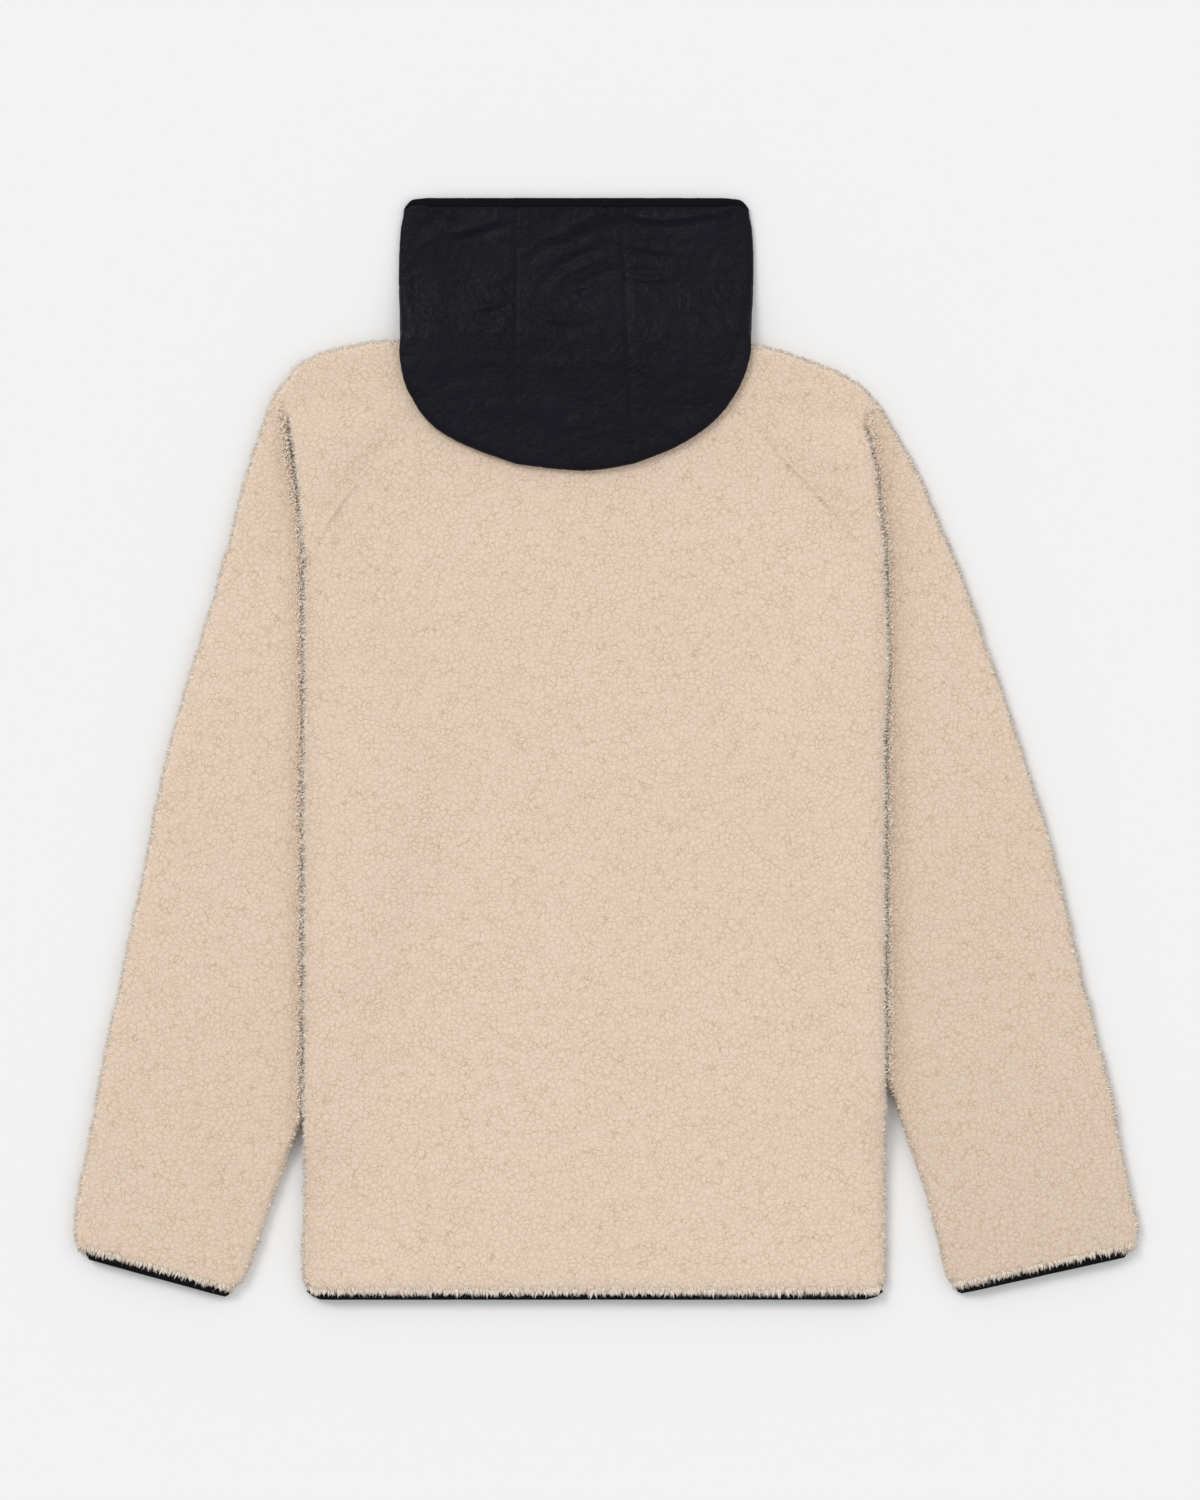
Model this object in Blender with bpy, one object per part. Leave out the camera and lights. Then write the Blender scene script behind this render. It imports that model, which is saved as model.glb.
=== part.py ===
"""A hooded fleece jacket laid flat on its front.

Blender 4.5, metres, +Z up.  The jacket's front lies on z = 0, +Y runs from the hem to the
hood and +X to the wearer's right.  Every cloth piece is a wall of even thickness, built
from rows of points along the middle of the cloth.  Tables are in millimetres.
"""
import math

import bpy
from mathutils import Vector

MM = 0.001

# Cloth thicknesses and the stacking of the fleece.
FLEECE = 5.6                    # knitted backing with its pile
NYLON = 2.4                     # hood cloth, doubled
BINDING = 3.2                   # folded tape round hem and cuffs
RIM = 2.6                       # folded tape round the hood's opening
PITCH = 6.2                     # from one fleece layer to the next
LAYER = [FLEECE / 2 + PITCH * k for k in range(4)]
BEND = PITCH / 2                # radius of a fleece fold's middle
REACH = BEND + FLEECE / 2       # from a fold's centre to its outer face
LIFT = 2 * PITCH                # how far the body rises over a sleeve under it

# Gaps between pieces that are sewn together.
SEAM = 0.3
SLANT_SEAM = 0.5                # the same gap, measured along X on a slanted seam
HOOD_CLEARANCE = 0.8            # between the hood's lower layer and the back

# The zip, down the middle of the front.
ZIP_HEM = (-10.0, -423.0)
ZIP_NECK = (-23.5, 258.0)
GROOVE = 6.3                    # from the zip's line to the edge of a front
SLIDER_Y = 222.0
HINGE_Z = 1.8

# From the side fold to the side seam, on the underside.
LIP = 10.0

# Hood.
HOOD_SEAM_LEFT = (-70.0, -70.0)         # x at the rim and at the crown
HOOD_SEAM_RIGHT = (10.5, 20.5)
HOOD_RIM_Y = 416.5
HOOD_CROWN_Y = 215.0
HOOD_NECK_Y = 285.0
HOOD_ON_FLOOR = NYLON / 2
HOOD_ON_BACK = LAYER[1] + FLEECE / 2 + HOOD_CLEARANCE + NYLON / 2
HOOD_SHOULDER = 12.0                    # from a side fold's turn to where the rim lies straight

# The two halves of the body.  `out` points away from the middle.
#   CAP   rows from the top of the side fold down to the underarm
#   BODY  rows from the underarm down to the hem
#   TOP   the shoulder's outline above CAP, from the side to the neck
#   ARM   the sleeve's outer and inner edge, from the underarm to the cuff
LEFT = {
    "out": -1,
    # y, outer fold, back raglan seam, side fold, hidden inner fold, front raglan seam, rise
    "CAP": [
        (262.0, -260.5, -145.5, -246.0, -246.0, -141.5, 0.00),
        (254.0, -263.5, -151.5, -245.0, -245.0, -146.0, 0.30),
        (247.0, -266.0, -157.5, -244.0, -244.0, -150.5, 0.65),
        (240.0, -268.0, -163.5, -243.5, -243.5, -153.5, 0.92),
        (231.0, -271.0, -171.5, -242.0, -230.0, -158.0, 1.00),
        (215.0, -276.0, -184.5, -239.5, -227.5, -163.5, 1.00),
        (195.0, -281.5, -200.5, -237.0, -225.0, -169.0, 1.00),
        (172.0, -287.5, -216.0, -236.0, -219.0, -171.5, 1.00),
        (148.0, -294.0, -227.0, -233.5, -211.5, -171.5, 1.00)],
    # y, side fold, sleeve's inner fold, foot of the ramp over it, rise
    "BODY": [
        (147.5, -233.5, -211.5, -171.5, 1.00),
        (114.5, -233.5, -196.5, -166.0, 1.00),
        (76.0, -233.5, -181.5, -153.5, 1.00),
        (37.5, -233.5, -168.0, -135.0, 1.00),
        (6.0, -233.5, -160.0, -109.5, 1.00),
        (-39.5, -233.5, -166.0, -116.0, 1.00),
        (-85.5, -233.5, -176.5, -126.5, 1.00),
        (-135.5, -233.5, -190.5, -140.5, 1.00),
        (-187.0, -233.5, -205.0, -155.0, 1.00),
        (-239.5, -233.5, -219.0, -170.0, 1.00),
        (-275.0, -233.5, -219.0, -172.0, 1.00),
        (-300.0, -233.5, -219.0, -172.0, 0.95),
        (-325.0, -233.5, -219.0, -172.0, 0.45),
        (-350.0, -233.5, -219.0, -172.0, 0.08),
        (-380.0, -234.0, -219.0, -172.0, 0.00),
        (-408.0, -234.0, -219.0, -172.0, 0.00),
        (-416.5, -233.0, -219.0, -172.0, 0.00)],
    # x, y
    "TOP": [
        (-257.0, 270.0), (-249.5, 281.0), (-236.0, 296.5), (-217.0, 305.0),
        (-193.5, 310.0), (-169.0, 313.5), (-146.0, 314.5), (-123.0, 314.5)],
    "NECK_BACK": (-122.0, 290.5),
    "NECK_FRONT": (-122.0, 289.0),
    # outer x, outer y, inner x, inner y
    "ARM": [
        (-336.0, 5.4, -160.0, 5.4),
        (-346.0, -39.5, -166.0, -39.5),
        (-355.5, -85.5, -176.5, -85.5),
        (-365.5, -135.5, -190.5, -135.5),
        (-376.0, -187.0, -205.0, -187.0),
        (-387.0, -236.0, -220.0, -239.5),
        (-394.5, -280.0, -234.5, -287.0),
        (-402.5, -320.5, -249.0, -325.0),
        (-408.5, -352.0, -262.0, -361.0),
        (-410.0, -373.0, -272.0, -390.0),
        (-409.0, -380.0, -277.5, -404.0),
        (-404.5, -384.0, -284.0, -417.0)],
    # outer fold at the same y as BODY's first rows
    "UNDERARM_OUTER": [-294.5, -303.5, -315.0, -327.0, -335.7],
    # neckline of the front: x, y
    "FRONT_NECK": [
        (-121.5, 289.0), (-98.0, 278.5), (-71.0, 270.5), (-45.0, 265.0), (-29.8, 263.5)],
    "HEM_CORNER": [(-416.9, -232.0), (-420.5, -230.0), (-423.5, -224.5)],   # y, side fold
    # hood, from the rim down to the shoulder: side fold x, y, seam y
    "HOOD_UP": [
        (-157.0, 412.5, 416.5), (-159.0, 404.0, 405.0), (-160.5, 385.0, 385.0),
        (-161.0, 355.0, 355.0), (-160.5, 340.0, 340.0), (-160.5, 331.0, 331.0),
        (-160.5, 320.5, 320.5)],
    # hood, over the shoulder: angle round the shoulder's edge, side fold x, y
    "HOOD_OVER": [
        (-8.0, -160.5, 318.3), (18.0, -160.5, 316.2), (42.0, -160.5, 314.3),
        (66.0, -160.5, 312.0), (90.0, -160.5, 309.0)],
    # hood, on the back: side fold x, y, its direction in degrees, seam y, lower end x, y
    "HOOD_DOWN": [
        (-159.5, 295.0, 180.0, 297.0, -123.5, 295.0),
        (-156.0, 279.5, 195.0, 283.5, -70.15, 283.5),
        (-148.0, 263.5, 212.0, 269.5, -70.15, 271.0),
        (-136.0, 248.5, 226.0, 257.0, -70.15, 259.5),
        (-120.5, 238.0, 240.0, 245.5, -70.15, 248.0),
        (-103.0, 230.0, 248.0, 236.0, -70.15, 238.5),
        (-85.0, 223.5, 253.0, 228.5, -70.15, 230.5)],
    "HOOD_CORNER_Y": 218.6,
}

RIGHT = {
    "out": 1,
    "CAP": [
        (254.0, 214.5, 105.5, 196.0, 196.0, 100.5, 0.00),
        (247.0, 219.0, 112.5, 198.0, 198.0, 105.0, 0.30),
        (240.0, 223.0, 119.5, 200.0, 200.0, 109.5, 0.65),
        (233.0, 227.0, 126.5, 202.0, 202.0, 114.0, 0.92),
        (224.0, 232.0, 135.0, 204.0, 192.0, 118.5, 1.00),
        (208.0, 240.0, 151.0, 206.5, 194.5, 126.5, 1.00),
        (188.0, 249.0, 169.0, 209.5, 196.0, 135.0, 1.00),
        (164.0, 259.0, 189.5, 212.0, 195.0, 143.5, 1.00),
        (138.5, 270.0, 206.5, 213.5, 191.5, 148.0, 1.00)],
    "BODY": [
        (138.0, 213.5, 191.5, 148.0, 1.00),
        (112.0, 214.0, 179.5, 144.5, 1.00),
        (76.0, 215.5, 165.0, 135.0, 1.00),
        (37.5, 214.5, 153.0, 119.5, 1.00),
        (6.0, 213.5, 144.5, 94.5, 1.00),
        (-39.5, 213.5, 150.5, 100.5, 1.00),
        (-85.5, 213.5, 160.0, 110.0, 1.00),
        (-135.5, 213.5, 172.0, 122.0, 1.00),
        (-187.0, 213.5, 186.5, 136.5, 1.00),
        (-227.0, 213.5, 199.0, 150.0, 1.00),
        (-250.0, 213.5, 199.0, 152.0, 1.00),
        (-268.0, 213.5, 199.0, 152.0, 0.95),
        (-295.0, 213.5, 199.0, 152.0, 0.45),
        (-325.0, 213.5, 199.0, 152.0, 0.08),
        (-370.0, 213.5, 199.0, 152.0, 0.00),
        (-408.0, 213.5, 199.0, 152.0, 0.00),
        (-416.5, 213.0, 199.0, 152.0, 0.00)],
    "TOP": [
        (206.5, 267.0), (199.0, 276.0), (184.5, 286.0), (165.0, 294.5),
        (143.0, 302.5), (119.5, 309.5), (98.0, 313.5), (76.0, 314.5)],
    "NECK_BACK": (75.0, 287.0),
    "NECK_FRONT": (75.0, 286.5),
    "ARM": [
        (316.0, 5.4, 144.5, 5.4),
        (330.5, -39.5, 150.5, -39.5),
        (344.0, -85.5, 160.0, -85.5),
        (356.0, -135.5, 172.0, -135.5),
        (367.5, -187.0, 186.5, -187.0),
        (378.5, -230.0, 202.0, -230.0),
        (388.5, -272.0, 219.5, -268.0),
        (395.5, -310.0, 232.5, -308.0),
        (402.5, -345.0, 245.0, -343.0),
        (408.0, -365.0, 254.0, -377.0),
        (407.5, -376.0, 257.5, -396.0),
        (404.0, -382.5, 262.0, -414.0)],
    "UNDERARM_OUTER": [270.2, 279.5, 292.0, 305.5, 315.8],
    "FRONT_NECK": [
        (74.5, 286.5), (52.0, 276.0), (27.0, 268.5), (2.0, 264.5), (-17.2, 263.5)],
    "HEM_CORNER": [(-416.9, 212.5), (-420.5, 210.5), (-423.5, 203.0)],
    "HOOD_UP": [
        (109.0, 412.5, 416.5), (111.0, 404.0, 405.0), (112.5, 385.0, 385.0),
        (112.5, 355.0, 355.0), (112.0, 340.0, 340.0), (111.5, 331.0, 331.0),
        (111.5, 320.5, 320.5)],
    "HOOD_OVER": [
        (-8.0, 111.5, 318.3), (18.0, 111.5, 316.2), (42.0, 111.3, 314.3),
        (66.0, 111.2, 312.0), (90.0, 111.0, 309.0)],
    "HOOD_DOWN": [
        (109.0, 297.0, 0.0, 297.0, 76.5, 295.0),
        (103.5, 281.0, -20.0, 283.5, 21.15, 283.5),
        (94.5, 265.5, -37.0, 270.5, 21.15, 271.0),
        (83.5, 252.5, -46.0, 258.0, 21.15, 259.5),
        (70.5, 242.0, -55.0, 248.0, 21.15, 250.0),
        (55.0, 232.5, -62.0, 238.5, 21.15, 240.5),
        (39.0, 225.5, -67.0, 231.0, 21.15, 233.0)],
    "HOOD_CORNER_Y": 219.0,
}
SIDES = {"left": LEFT, "right": RIGHT}

# Height of the hood's top layer, from the rim over the shoulder to the crown: y, z.
HOOD_TOP = [
    (424.0, 4.4), (400.0, 4.6), (375.0, 5.4), (352.0, 8.6), (334.0, 14.6), (320.0, 18.0),
    (300.0, 19.0), (215.0, 19.0)]
# The crown's bottom edge on the middle panel: x, y.
HOOD_CROWN = [
    (-70.0, 218.6), (-52.0, 216.0), (-36.5, 214.3), (-19.5, 213.0), (-6.0, 213.6),
    (7.5, 216.2), (21.0, 219.0)]


def smooth(value):
    """Ease from 0 to 1 as value goes from 0 to 1."""
    value = min(1.0, max(0.0, value))
    return value * value * (3 - 2 * value)


def read(table, key, column=1):
    """A table's column at a key, straight between its rows."""
    rows = sorted(table)
    if key <= rows[0][0]:
        return rows[0][column]
    for low, high in zip(rows, rows[1:]):
        if key <= high[0]:
            share = (key - low[0]) / (high[0] - low[0])
            return low[column] + share * (high[column] - low[column])
    return rows[-1][column]


def between(first, second, share):
    return first + (second - first) * share


def zip_x(y):
    """The zip's line, which leans a little towards the wearer's left at the neck."""
    share = min(1.0, (y - ZIP_HEM[1]) / (ZIP_NECK[1] - ZIP_HEM[1]))
    return between(ZIP_HEM[0], ZIP_NECK[0], share)


class Wall:
    """A cloth wall of even thickness.

    A row is a list of (station, middle point, direction that the outer face looks in).
    Stations count along the cloth from its start, and rows are joined where their
    stations agree.  A direction of None is worked out from the middle's own shape.
    """

    def __init__(self, thickness):
        self.thickness = thickness
        self.points = []
        self.looks = []
        self.faces = []

    def row(self, stations):
        ids = []
        for station, point, look in sorted(stations, key=lambda entry: entry[0]):
            ids.append((station, len(self.points)))
            self.points.append(Vector(point))
            self.looks.append(look)
        return ids

    def join(self, first, second, low=-math.inf, high=math.inf):
        """Triangles between two rows, over the stations from low to high."""
        a = [entry for entry in first if low <= entry[0] <= high]
        b = [entry for entry in second if low <= entry[0] <= high]
        i = j = 0
        while i < len(a) - 1 or j < len(b) - 1:
            step_a = j == len(b) - 1 or (i < len(a) - 1 and a[i + 1][0] <= b[j + 1][0])
            if step_a:
                self.faces.append((a[i][1], a[i + 1][1], b[j][1]))
                i += 1
            else:
                self.faces.append((a[i][1], b[j + 1][1], b[j][1]))
                j += 1

    def stack(self, rows, low=-math.inf, high=math.inf):
        for first, second in zip(rows, rows[1:]):
            self.join(first, second, low, high)

    def face_looks(self):
        """The outer direction at each point, and faces turned to agree with it."""
        sums = [Vector() for _ in self.points]
        agreement = 0.0
        for face in self.faces:
            a, b, c = (self.points[i] for i in face)
            normal = (b - a).cross(c - a)
            for i in face:
                sums[i] += normal
                if self.looks[i] is not None:
                    agreement += normal.dot(self.looks[i])
        if agreement < 0:
            self.faces = [(a, c, b) for a, b, c in self.faces]
            sums = [-total for total in sums]
        return [
            (total if look is None else Vector(look)).normalized()
            for total, look in zip(sums, self.looks)]

    def solid(self, name, material):
        looks = self.face_looks()
        half = self.thickness / 2
        count = len(self.points)
        outer = [p + look * half for p, look in zip(self.points, looks)]
        inner = [p - look * half for p, look in zip(self.points, looks)]
        faces = list(self.faces)
        faces += [(c + count, b + count, a + count) for a, b, c in self.faces]
        edges = {
            (face[k], face[(k + 1) % 3]) for face in self.faces for k in range(3)}
        for a, b in sorted(edges):
            if (b, a) not in edges:
                faces.append((b, a, a + count))
                faces.append((b, a + count, b + count))
        return add_mesh(name, outer + inner, faces, material)


def add_mesh(name, points, faces, material, origin=(0.0, 0.0, 0.0)):
    """A mesh object whose points are given in millimetres."""
    origin = Vector(origin)
    used = sorted({i for face in faces for i in face})
    index = {old: new for new, old in enumerate(used)}
    mesh = bpy.data.meshes.new(name)
    mesh.from_pydata(
        [(Vector(points[i]) - origin) * MM for i in used], [],
        [[index[i] for i in face] for face in faces])
    mesh.shade_smooth()
    mesh.set_sharp_from_angle(angle=math.radians(50))
    mesh.materials.append(material)
    thing = bpy.data.objects.new(name, mesh)
    thing.location = origin * MM
    bpy.context.scene.collection.objects.link(thing)
    return thing


def make_material(name, colour, roughness, metallic=0.0):
    material = bpy.data.materials.new(name)
    material.use_nodes = True
    shader = material.node_tree.nodes["Principled BSDF"]
    shader.inputs["Base Color"].default_value = (*colour, 1.0)
    shader.inputs["Roughness"].default_value = roughness
    shader.inputs["Metallic"].default_value = metallic
    return material


def bend(centre, out, radius, start, stop, steps, bulge=1):
    """Points round a fold.  An angle of 0 looks up, 90 along `out` and 180 down."""
    points = []
    for step in range(steps + 1):
        angle = math.radians(between(start, stop, step / steps))
        look = out * math.sin(angle) + Vector((0, 0, math.cos(angle)))
        points.append((centre + look * radius * bulge, look))
    return points


def number(points, first, last):
    """Give evenly spaced station numbers to (point, look) pairs."""
    span = max(1, len(points) - 1)
    return [(between(first, last, k / span), p, look) for k, (p, look) in enumerate(points)]


UP = Vector((0, 0, 1))
DOWN = Vector((0, 0, -1))


# ---------------------------------------------------------------- sleeves

def rise_over_sleeve(x, inner, foot, rise):
    """Height that the body gains at x over the sleeve folded under it."""
    return LIFT * rise * smooth((x - foot) / (inner - foot))


def cap_row(side, values):
    """A row across the shoulder: raglan seam, side fold, turned-under layer, sleeve."""
    y, outer, seam, fold, inner, foot, rise = values
    out = Vector((side["out"], 0, 0))
    turn = math.degrees(math.acos(1 - 2 * rise))
    run = max(0.0, abs(inner - fold) - 2 * REACH) if rise == 1 else 0.0
    start = fold - out.x * REACH
    top = LAYER[1] + LIFT * rise
    row = []
    ramp_inner = inner if rise == 1 else fold - out.x * 2 * REACH
    for share in (0.0, 0.33, 0.67):
        x = between(seam, start, share)
        z = LAYER[1] + rise_over_sleeve(x, ramp_inner, foot, rise)
        row.append((share, (x, y, z), UP))
    first = bend(Vector((start, y, top - BEND)), out, BEND, 0, turn, 4)
    row += number(first, 1, 2)
    end, look = first[-1]
    if run > LIP + SEAM - REACH:
        row.append((2.5, (fold - out.x * (LIP + SEAM), y, end.z), look))
    end = end - out * run
    second = bend(end + look * BEND, out, BEND, turn, 0, 4, bulge=-1)
    row += number(second, 3, 4) if run > 0 else number(second[1:], 3.25, 4)
    return row + around(side, y, second[-1][0].x, outer, foot)


def around(side, y, inner, outer, foot):
    """The sleeve's upper layer, outer fold and under layer, to the front raglan seam."""
    out = Vector((side["out"], 0, 0))
    turn = outer - out.x * REACH
    row = [(4.5, (between(inner, turn, 0.5), y, LAYER[1]), UP)]
    row += number(bend(Vector((turn, y, BEND + LAYER[0])), out, BEND, 0, 180, 4), 5, 6)
    row.append((6.4, (between(turn, inner, 0.5), y, LAYER[0]), DOWN))
    if (foot - inner) * out.x < 0:
        row.append((6.8, (inner, y, LAYER[0]), DOWN))
    row.append((7, (foot, y, LAYER[0]), DOWN))
    return row


def underarm_row(side, body, outer, y=None):
    """A row under the armhole, which starts on the turned-under layer."""
    y = body[0] if y is None else y
    _, fold, inner, foot, _ = body
    out = Vector((side["out"], 0, 0))
    start = fold - out.x * (LIP + SEAM)
    row = [(2.5, (start, y, LAYER[2]), DOWN)]
    centre = Vector((inner + out.x * REACH, y, LAYER[1] + BEND))
    row += number(bend(centre, out, BEND, 180, 0, 4, bulge=-1), 3, 4)
    return row + around(side, y, centre.x, outer, foot + out.x * SLANT_SEAM)


def ring_row(outer, inner, thickness=FLEECE, steps=4):
    """A flat tube's row from the seam at its inner edge, round it and back."""
    outer, inner = Vector((*outer, 0)), Vector((*inner, 0))
    out = (outer - inner).normalized()
    reach = BEND + thickness / 2
    middle = Vector((0, 0, LAYER[0] + BEND))
    near, far = inner + out * reach + middle, outer - out * reach + middle
    half_seam = Vector((0, 0, SEAM / 2))
    upper = bend(near, -out, BEND, 90, 0, 2)
    lower = bend(near, -out, BEND, 180, 90, 2)
    upper[0] = (upper[0][0] + half_seam, upper[0][1])
    lower[-1] = (lower[-1][0] - half_seam, lower[-1][1])
    rise, fall = Vector((0, 0, BEND)), Vector((0, 0, -BEND))
    row = number(upper, 3.6, 4)
    row.append((4.5, between(near, far, 0.5) + rise, UP))
    row += number(bend(far, out, BEND, 0, 180, steps), 5, 6)
    row.append((6.4, between(far, near, 0.5) + fall, DOWN))
    return row + number(lower, 6.8, 8)


def top_rows(side):
    """Rows that fan over the shoulder, from the side round to the neck."""
    first = side["CAP"][0]
    back_start, front_start = Vector((first[2], first[0], 0)), Vector((first[5], first[0], 0))
    back_end, front_end = Vector((*side["NECK_BACK"], 0)), Vector((*side["NECK_FRONT"], 0))
    count = len(side["TOP"])
    rows = []
    for k, place in enumerate(side["TOP"]):
        share = (k + 1) / count
        back = between(back_start, back_end, share)
        front = between(front_start, front_end, share)
        outer = Vector((*place, 0))
        out = (outer - back).normalized()
        centre = outer - out * REACH
        row = [(0, back + UP * LAYER[1], UP)]
        row.append((2, between(back, centre, 0.5) + UP * LAYER[1], UP))
        row += number(bend(centre + UP * (LAYER[0] + BEND), out, BEND, 0, 180, 4), 5, 6)
        row.append((7, front + UP * LAYER[0], DOWN))
        rows.append(row)
    return rows


def make_sleeve(name, side, material):
    wall = Wall(FLEECE)
    top = [wall.row(row) for row in reversed(top_rows(side))]
    cap = [wall.row(cap_row(side, values)) for values in side["CAP"]]
    wall.stack(top + cap)
    underarm = []
    for body, outer in zip(side["BODY"], side["UNDERARM_OUTER"]):
        y = body[0]
        if body is side["BODY"][0]:
            y = side["CAP"][-1][0] - 1.5
        if outer == side["UNDERARM_OUTER"][-1]:
            y = body[0] + 0.4
        underarm.append(wall.row(underarm_row(side, body, outer, y)))
    wall.join(cap[-1], underarm[0], low=2.5)
    wall.stack(underarm)
    arm = [wall.row(ring_row(row[:2], row[2:])) for row in side["ARM"]]
    wall.join(underarm[-1], arm[0], low=4, high=6.8)
    wall.stack(arm)
    return wall.solid(name, material)


def make_cuff_binding(name, side, material):
    """A narrower flat ring that carries the sleeve's end on by a few millimetres."""
    outer = Vector((*side["ARM"][-1][:2], 0))
    inner = Vector((*side["ARM"][-1][2:], 0))
    along = (inner - outer).normalized()
    beyond = Vector((-along.y, along.x, 0)) * -side["out"]
    if beyond.y > 0:
        beyond = -beyond
    wall = Wall(BINDING)
    rows = []
    # how far past the cuff, and how far in from its outer and inner ends
    for depth, from_outer, from_inner in ((SEAM, 2.5, 5.0), (5.0, 3.0, 6.5), (7.0, 4.5, 9.0)):
        start = outer + beyond * depth + along * from_outer
        stop = inner + beyond * depth - along * from_inner
        rows.append(wall.row(ring_row(start.xy, stop.xy, BINDING)))
    wall.stack(rows)
    return wall.solid(name, material)


# ---------------------------------------------------------------- body

def body_columns(side, body):
    """Stations from the side's turning to the ramp's foot: station, x, height gained."""
    _, _, inner, foot, rise = body
    columns = []
    for station, share in ((6, 1.0), (5.75, 0.75), (5.5, 0.5), (5.25, 0.25), (5, 0.0)):
        x = between(foot, inner, share)
        columns.append((station, x, rise_over_sleeve(x, inner, foot, rise)))
    return columns


def row_y(left, right, x):
    """Rows of the body run straight from one side fold to the other."""
    return between(left[0], right[0], (x - left[1]) / (right[1] - left[1]))


def back_half(side, body, y_at):
    """One side of a back row, from the side seam to the middle, all but the centre."""
    _, fold, _, foot, rise = body
    out = Vector((side["out"], 0, 0))
    lift = LIFT * rise
    centre = Vector((fold - out.x * REACH, y_at(fold), LAYER[0] + BEND + lift))
    half = [(9, (fold - out.x * LIP, y_at(fold), LAYER[0] + lift), DOWN)]
    half += number(bend(centre, out, BEND, 180, 0, 4), 8, 7)
    for station, x, gain in body_columns(side, body):
        half.append((station, (x, y_at(x), LAYER[1] + gain), UP))
    x = between(foot, zip_x(y_at(foot)), 0.5)
    half.append((3, (x, y_at(x), LAYER[1]), UP))
    return half


def back_cap_half(side, values, y_at):
    """One side of a back row above the underarm, from the raglan seam."""
    _, _, seam, fold, inner, foot, rise = values
    out = side["out"]
    inner = inner if rise == 1 else fold - out * 2 * REACH
    share = (seam - foot) / (inner - foot)
    station = 5 + min(1.9, share) if share < 1 else 6 + 0.5 * min(1, abs(seam - inner) / 30)
    x = seam - out * SLANT_SEAM
    half = [(station, (x, y_at(x), LAYER[1] + rise_over_sleeve(x, inner, foot, rise)), UP)]
    for column, x, gain in body_columns(side, (0, fold, inner, foot, rise)):
        if column < station - 0.1:
            half.append((column, (x, y_at(x), LAYER[1] + gain), UP))
    x = between(foot, zip_x(y_at(foot)), 0.5)
    half.append((3, (x, y_at(x), LAYER[1]), UP))
    return half


def whole_row(left_half, right_half, y_at):
    """A back row from the two halves and the centre between them."""
    x = zip_x(0)
    row = [(-station, point, look) for station, point, look in left_half]
    row.append((0, (x, y_at(x), LAYER[1]), UP))
    return row + list(reversed(right_half))


def make_back(material):
    wall = Wall(FLEECE)
    cap_rows, rows = [], []
    top = []
    for station, share, drop in ((-5, 0.0, 0.0), (-3, 0.25, 4.0), (0, 0.5, 5.5),
                                 (3, 0.75, 4.0), (5, 1.0, 0.0)):
        left = Vector((LEFT["NECK_BACK"][0] + SLANT_SEAM, LEFT["NECK_BACK"][1], LAYER[1]))
        right = Vector((RIGHT["NECK_BACK"][0] - SLANT_SEAM, RIGHT["NECK_BACK"][1], LAYER[1]))
        place = between(left, right, share)
        top.append((station, place - Vector((0, drop, 0)), UP))
    cap_rows.append(wall.row(top))
    for left, right in zip(LEFT["CAP"], RIGHT["CAP"]):
        ends = (left[0], left[2]), (right[0], right[2])

        def y_at(x):
            return row_y(*ends, x)
        halves = back_cap_half(LEFT, left, y_at), back_cap_half(RIGHT, right, y_at)
        cap_rows.append(wall.row(whole_row(*halves, y_at)))
    for left, right in zip(LEFT["BODY"], RIGHT["BODY"]):
        def y_at(x):
            return row_y(left, right, x)
        halves = back_half(LEFT, left, y_at), back_half(RIGHT, right, y_at)
        rows.append(wall.row(whole_row(*halves, y_at)))
    wall.stack(cap_rows)
    wall.join(cap_rows[-1], rows[0], low=-7, high=7)
    wall.stack(rows)
    return wall.solid("back", material)


def make_front(name, side, material):
    """A front, from its side seam, which lies under the side fold, to the zip."""
    out = side["out"]
    wall = Wall(FLEECE)
    neck = [(station * out, (x, y, LAYER[0]), DOWN)
            for station, (x, y) in zip((5, 4, 3, 2, 1), side["FRONT_NECK"])]
    rows = [wall.row(neck)]
    for left, right in zip(LEFT["CAP"], RIGHT["CAP"]):
        mine = left if side is LEFT else right
        foot = mine[5] - out * SLANT_SEAM
        y_foot = mine[0]
        y_zip = between(left[0], right[0], 0.5)
        edge = zip_x(y_zip) + out * GROOVE
        middle = between(foot, edge, 0.5)
        rows.append(wall.row([
            (5 * out, (foot, y_foot, LAYER[0]), DOWN),
            (3 * out, (middle, between(y_foot, y_zip, 0.5), LAYER[0]), DOWN),
            (out, (edge, y_zip, LAYER[0]), DOWN)]))
    for left, right in zip(LEFT["BODY"][1:], RIGHT["BODY"][1:]):
        def y_at(x):
            return row_y(left, right, x)
        mine = left if side is LEFT else right
        _, fold, _, foot, rise = mine
        armhole = mine[0] > 6.0
        row = []
        if not armhole:
            x = fold - out * (LIP + SEAM)
            row.append((7, (x, y_at(x), LAYER[0] + LIFT * rise), DOWN))
        for station, x, gain in body_columns(side, mine):
            if armhole and station == 5:
                x -= out * SLANT_SEAM
            if station == 5 or not armhole:
                row.append((station, (x, y_at(x), LAYER[0] + gain), DOWN))
        x = between(foot, zip_x(y_at(foot)), 0.5)
        row.append((3, (x, y_at(x), LAYER[0]), DOWN))
        x = zip_x(y_at(zip_x(0))) + out * GROOVE
        row.append((1, (x, y_at(x), LAYER[0]), DOWN))
        rows.append(wall.row([(station * out, point, look) for station, point, look in row]))
    armhole_rows = 1 + len(side["CAP"]) + 4
    wall.stack(rows[:armhole_rows], low=-5, high=5)
    wall.stack(rows[armhole_rows - 1:])
    return wall.solid(name, material)


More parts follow.
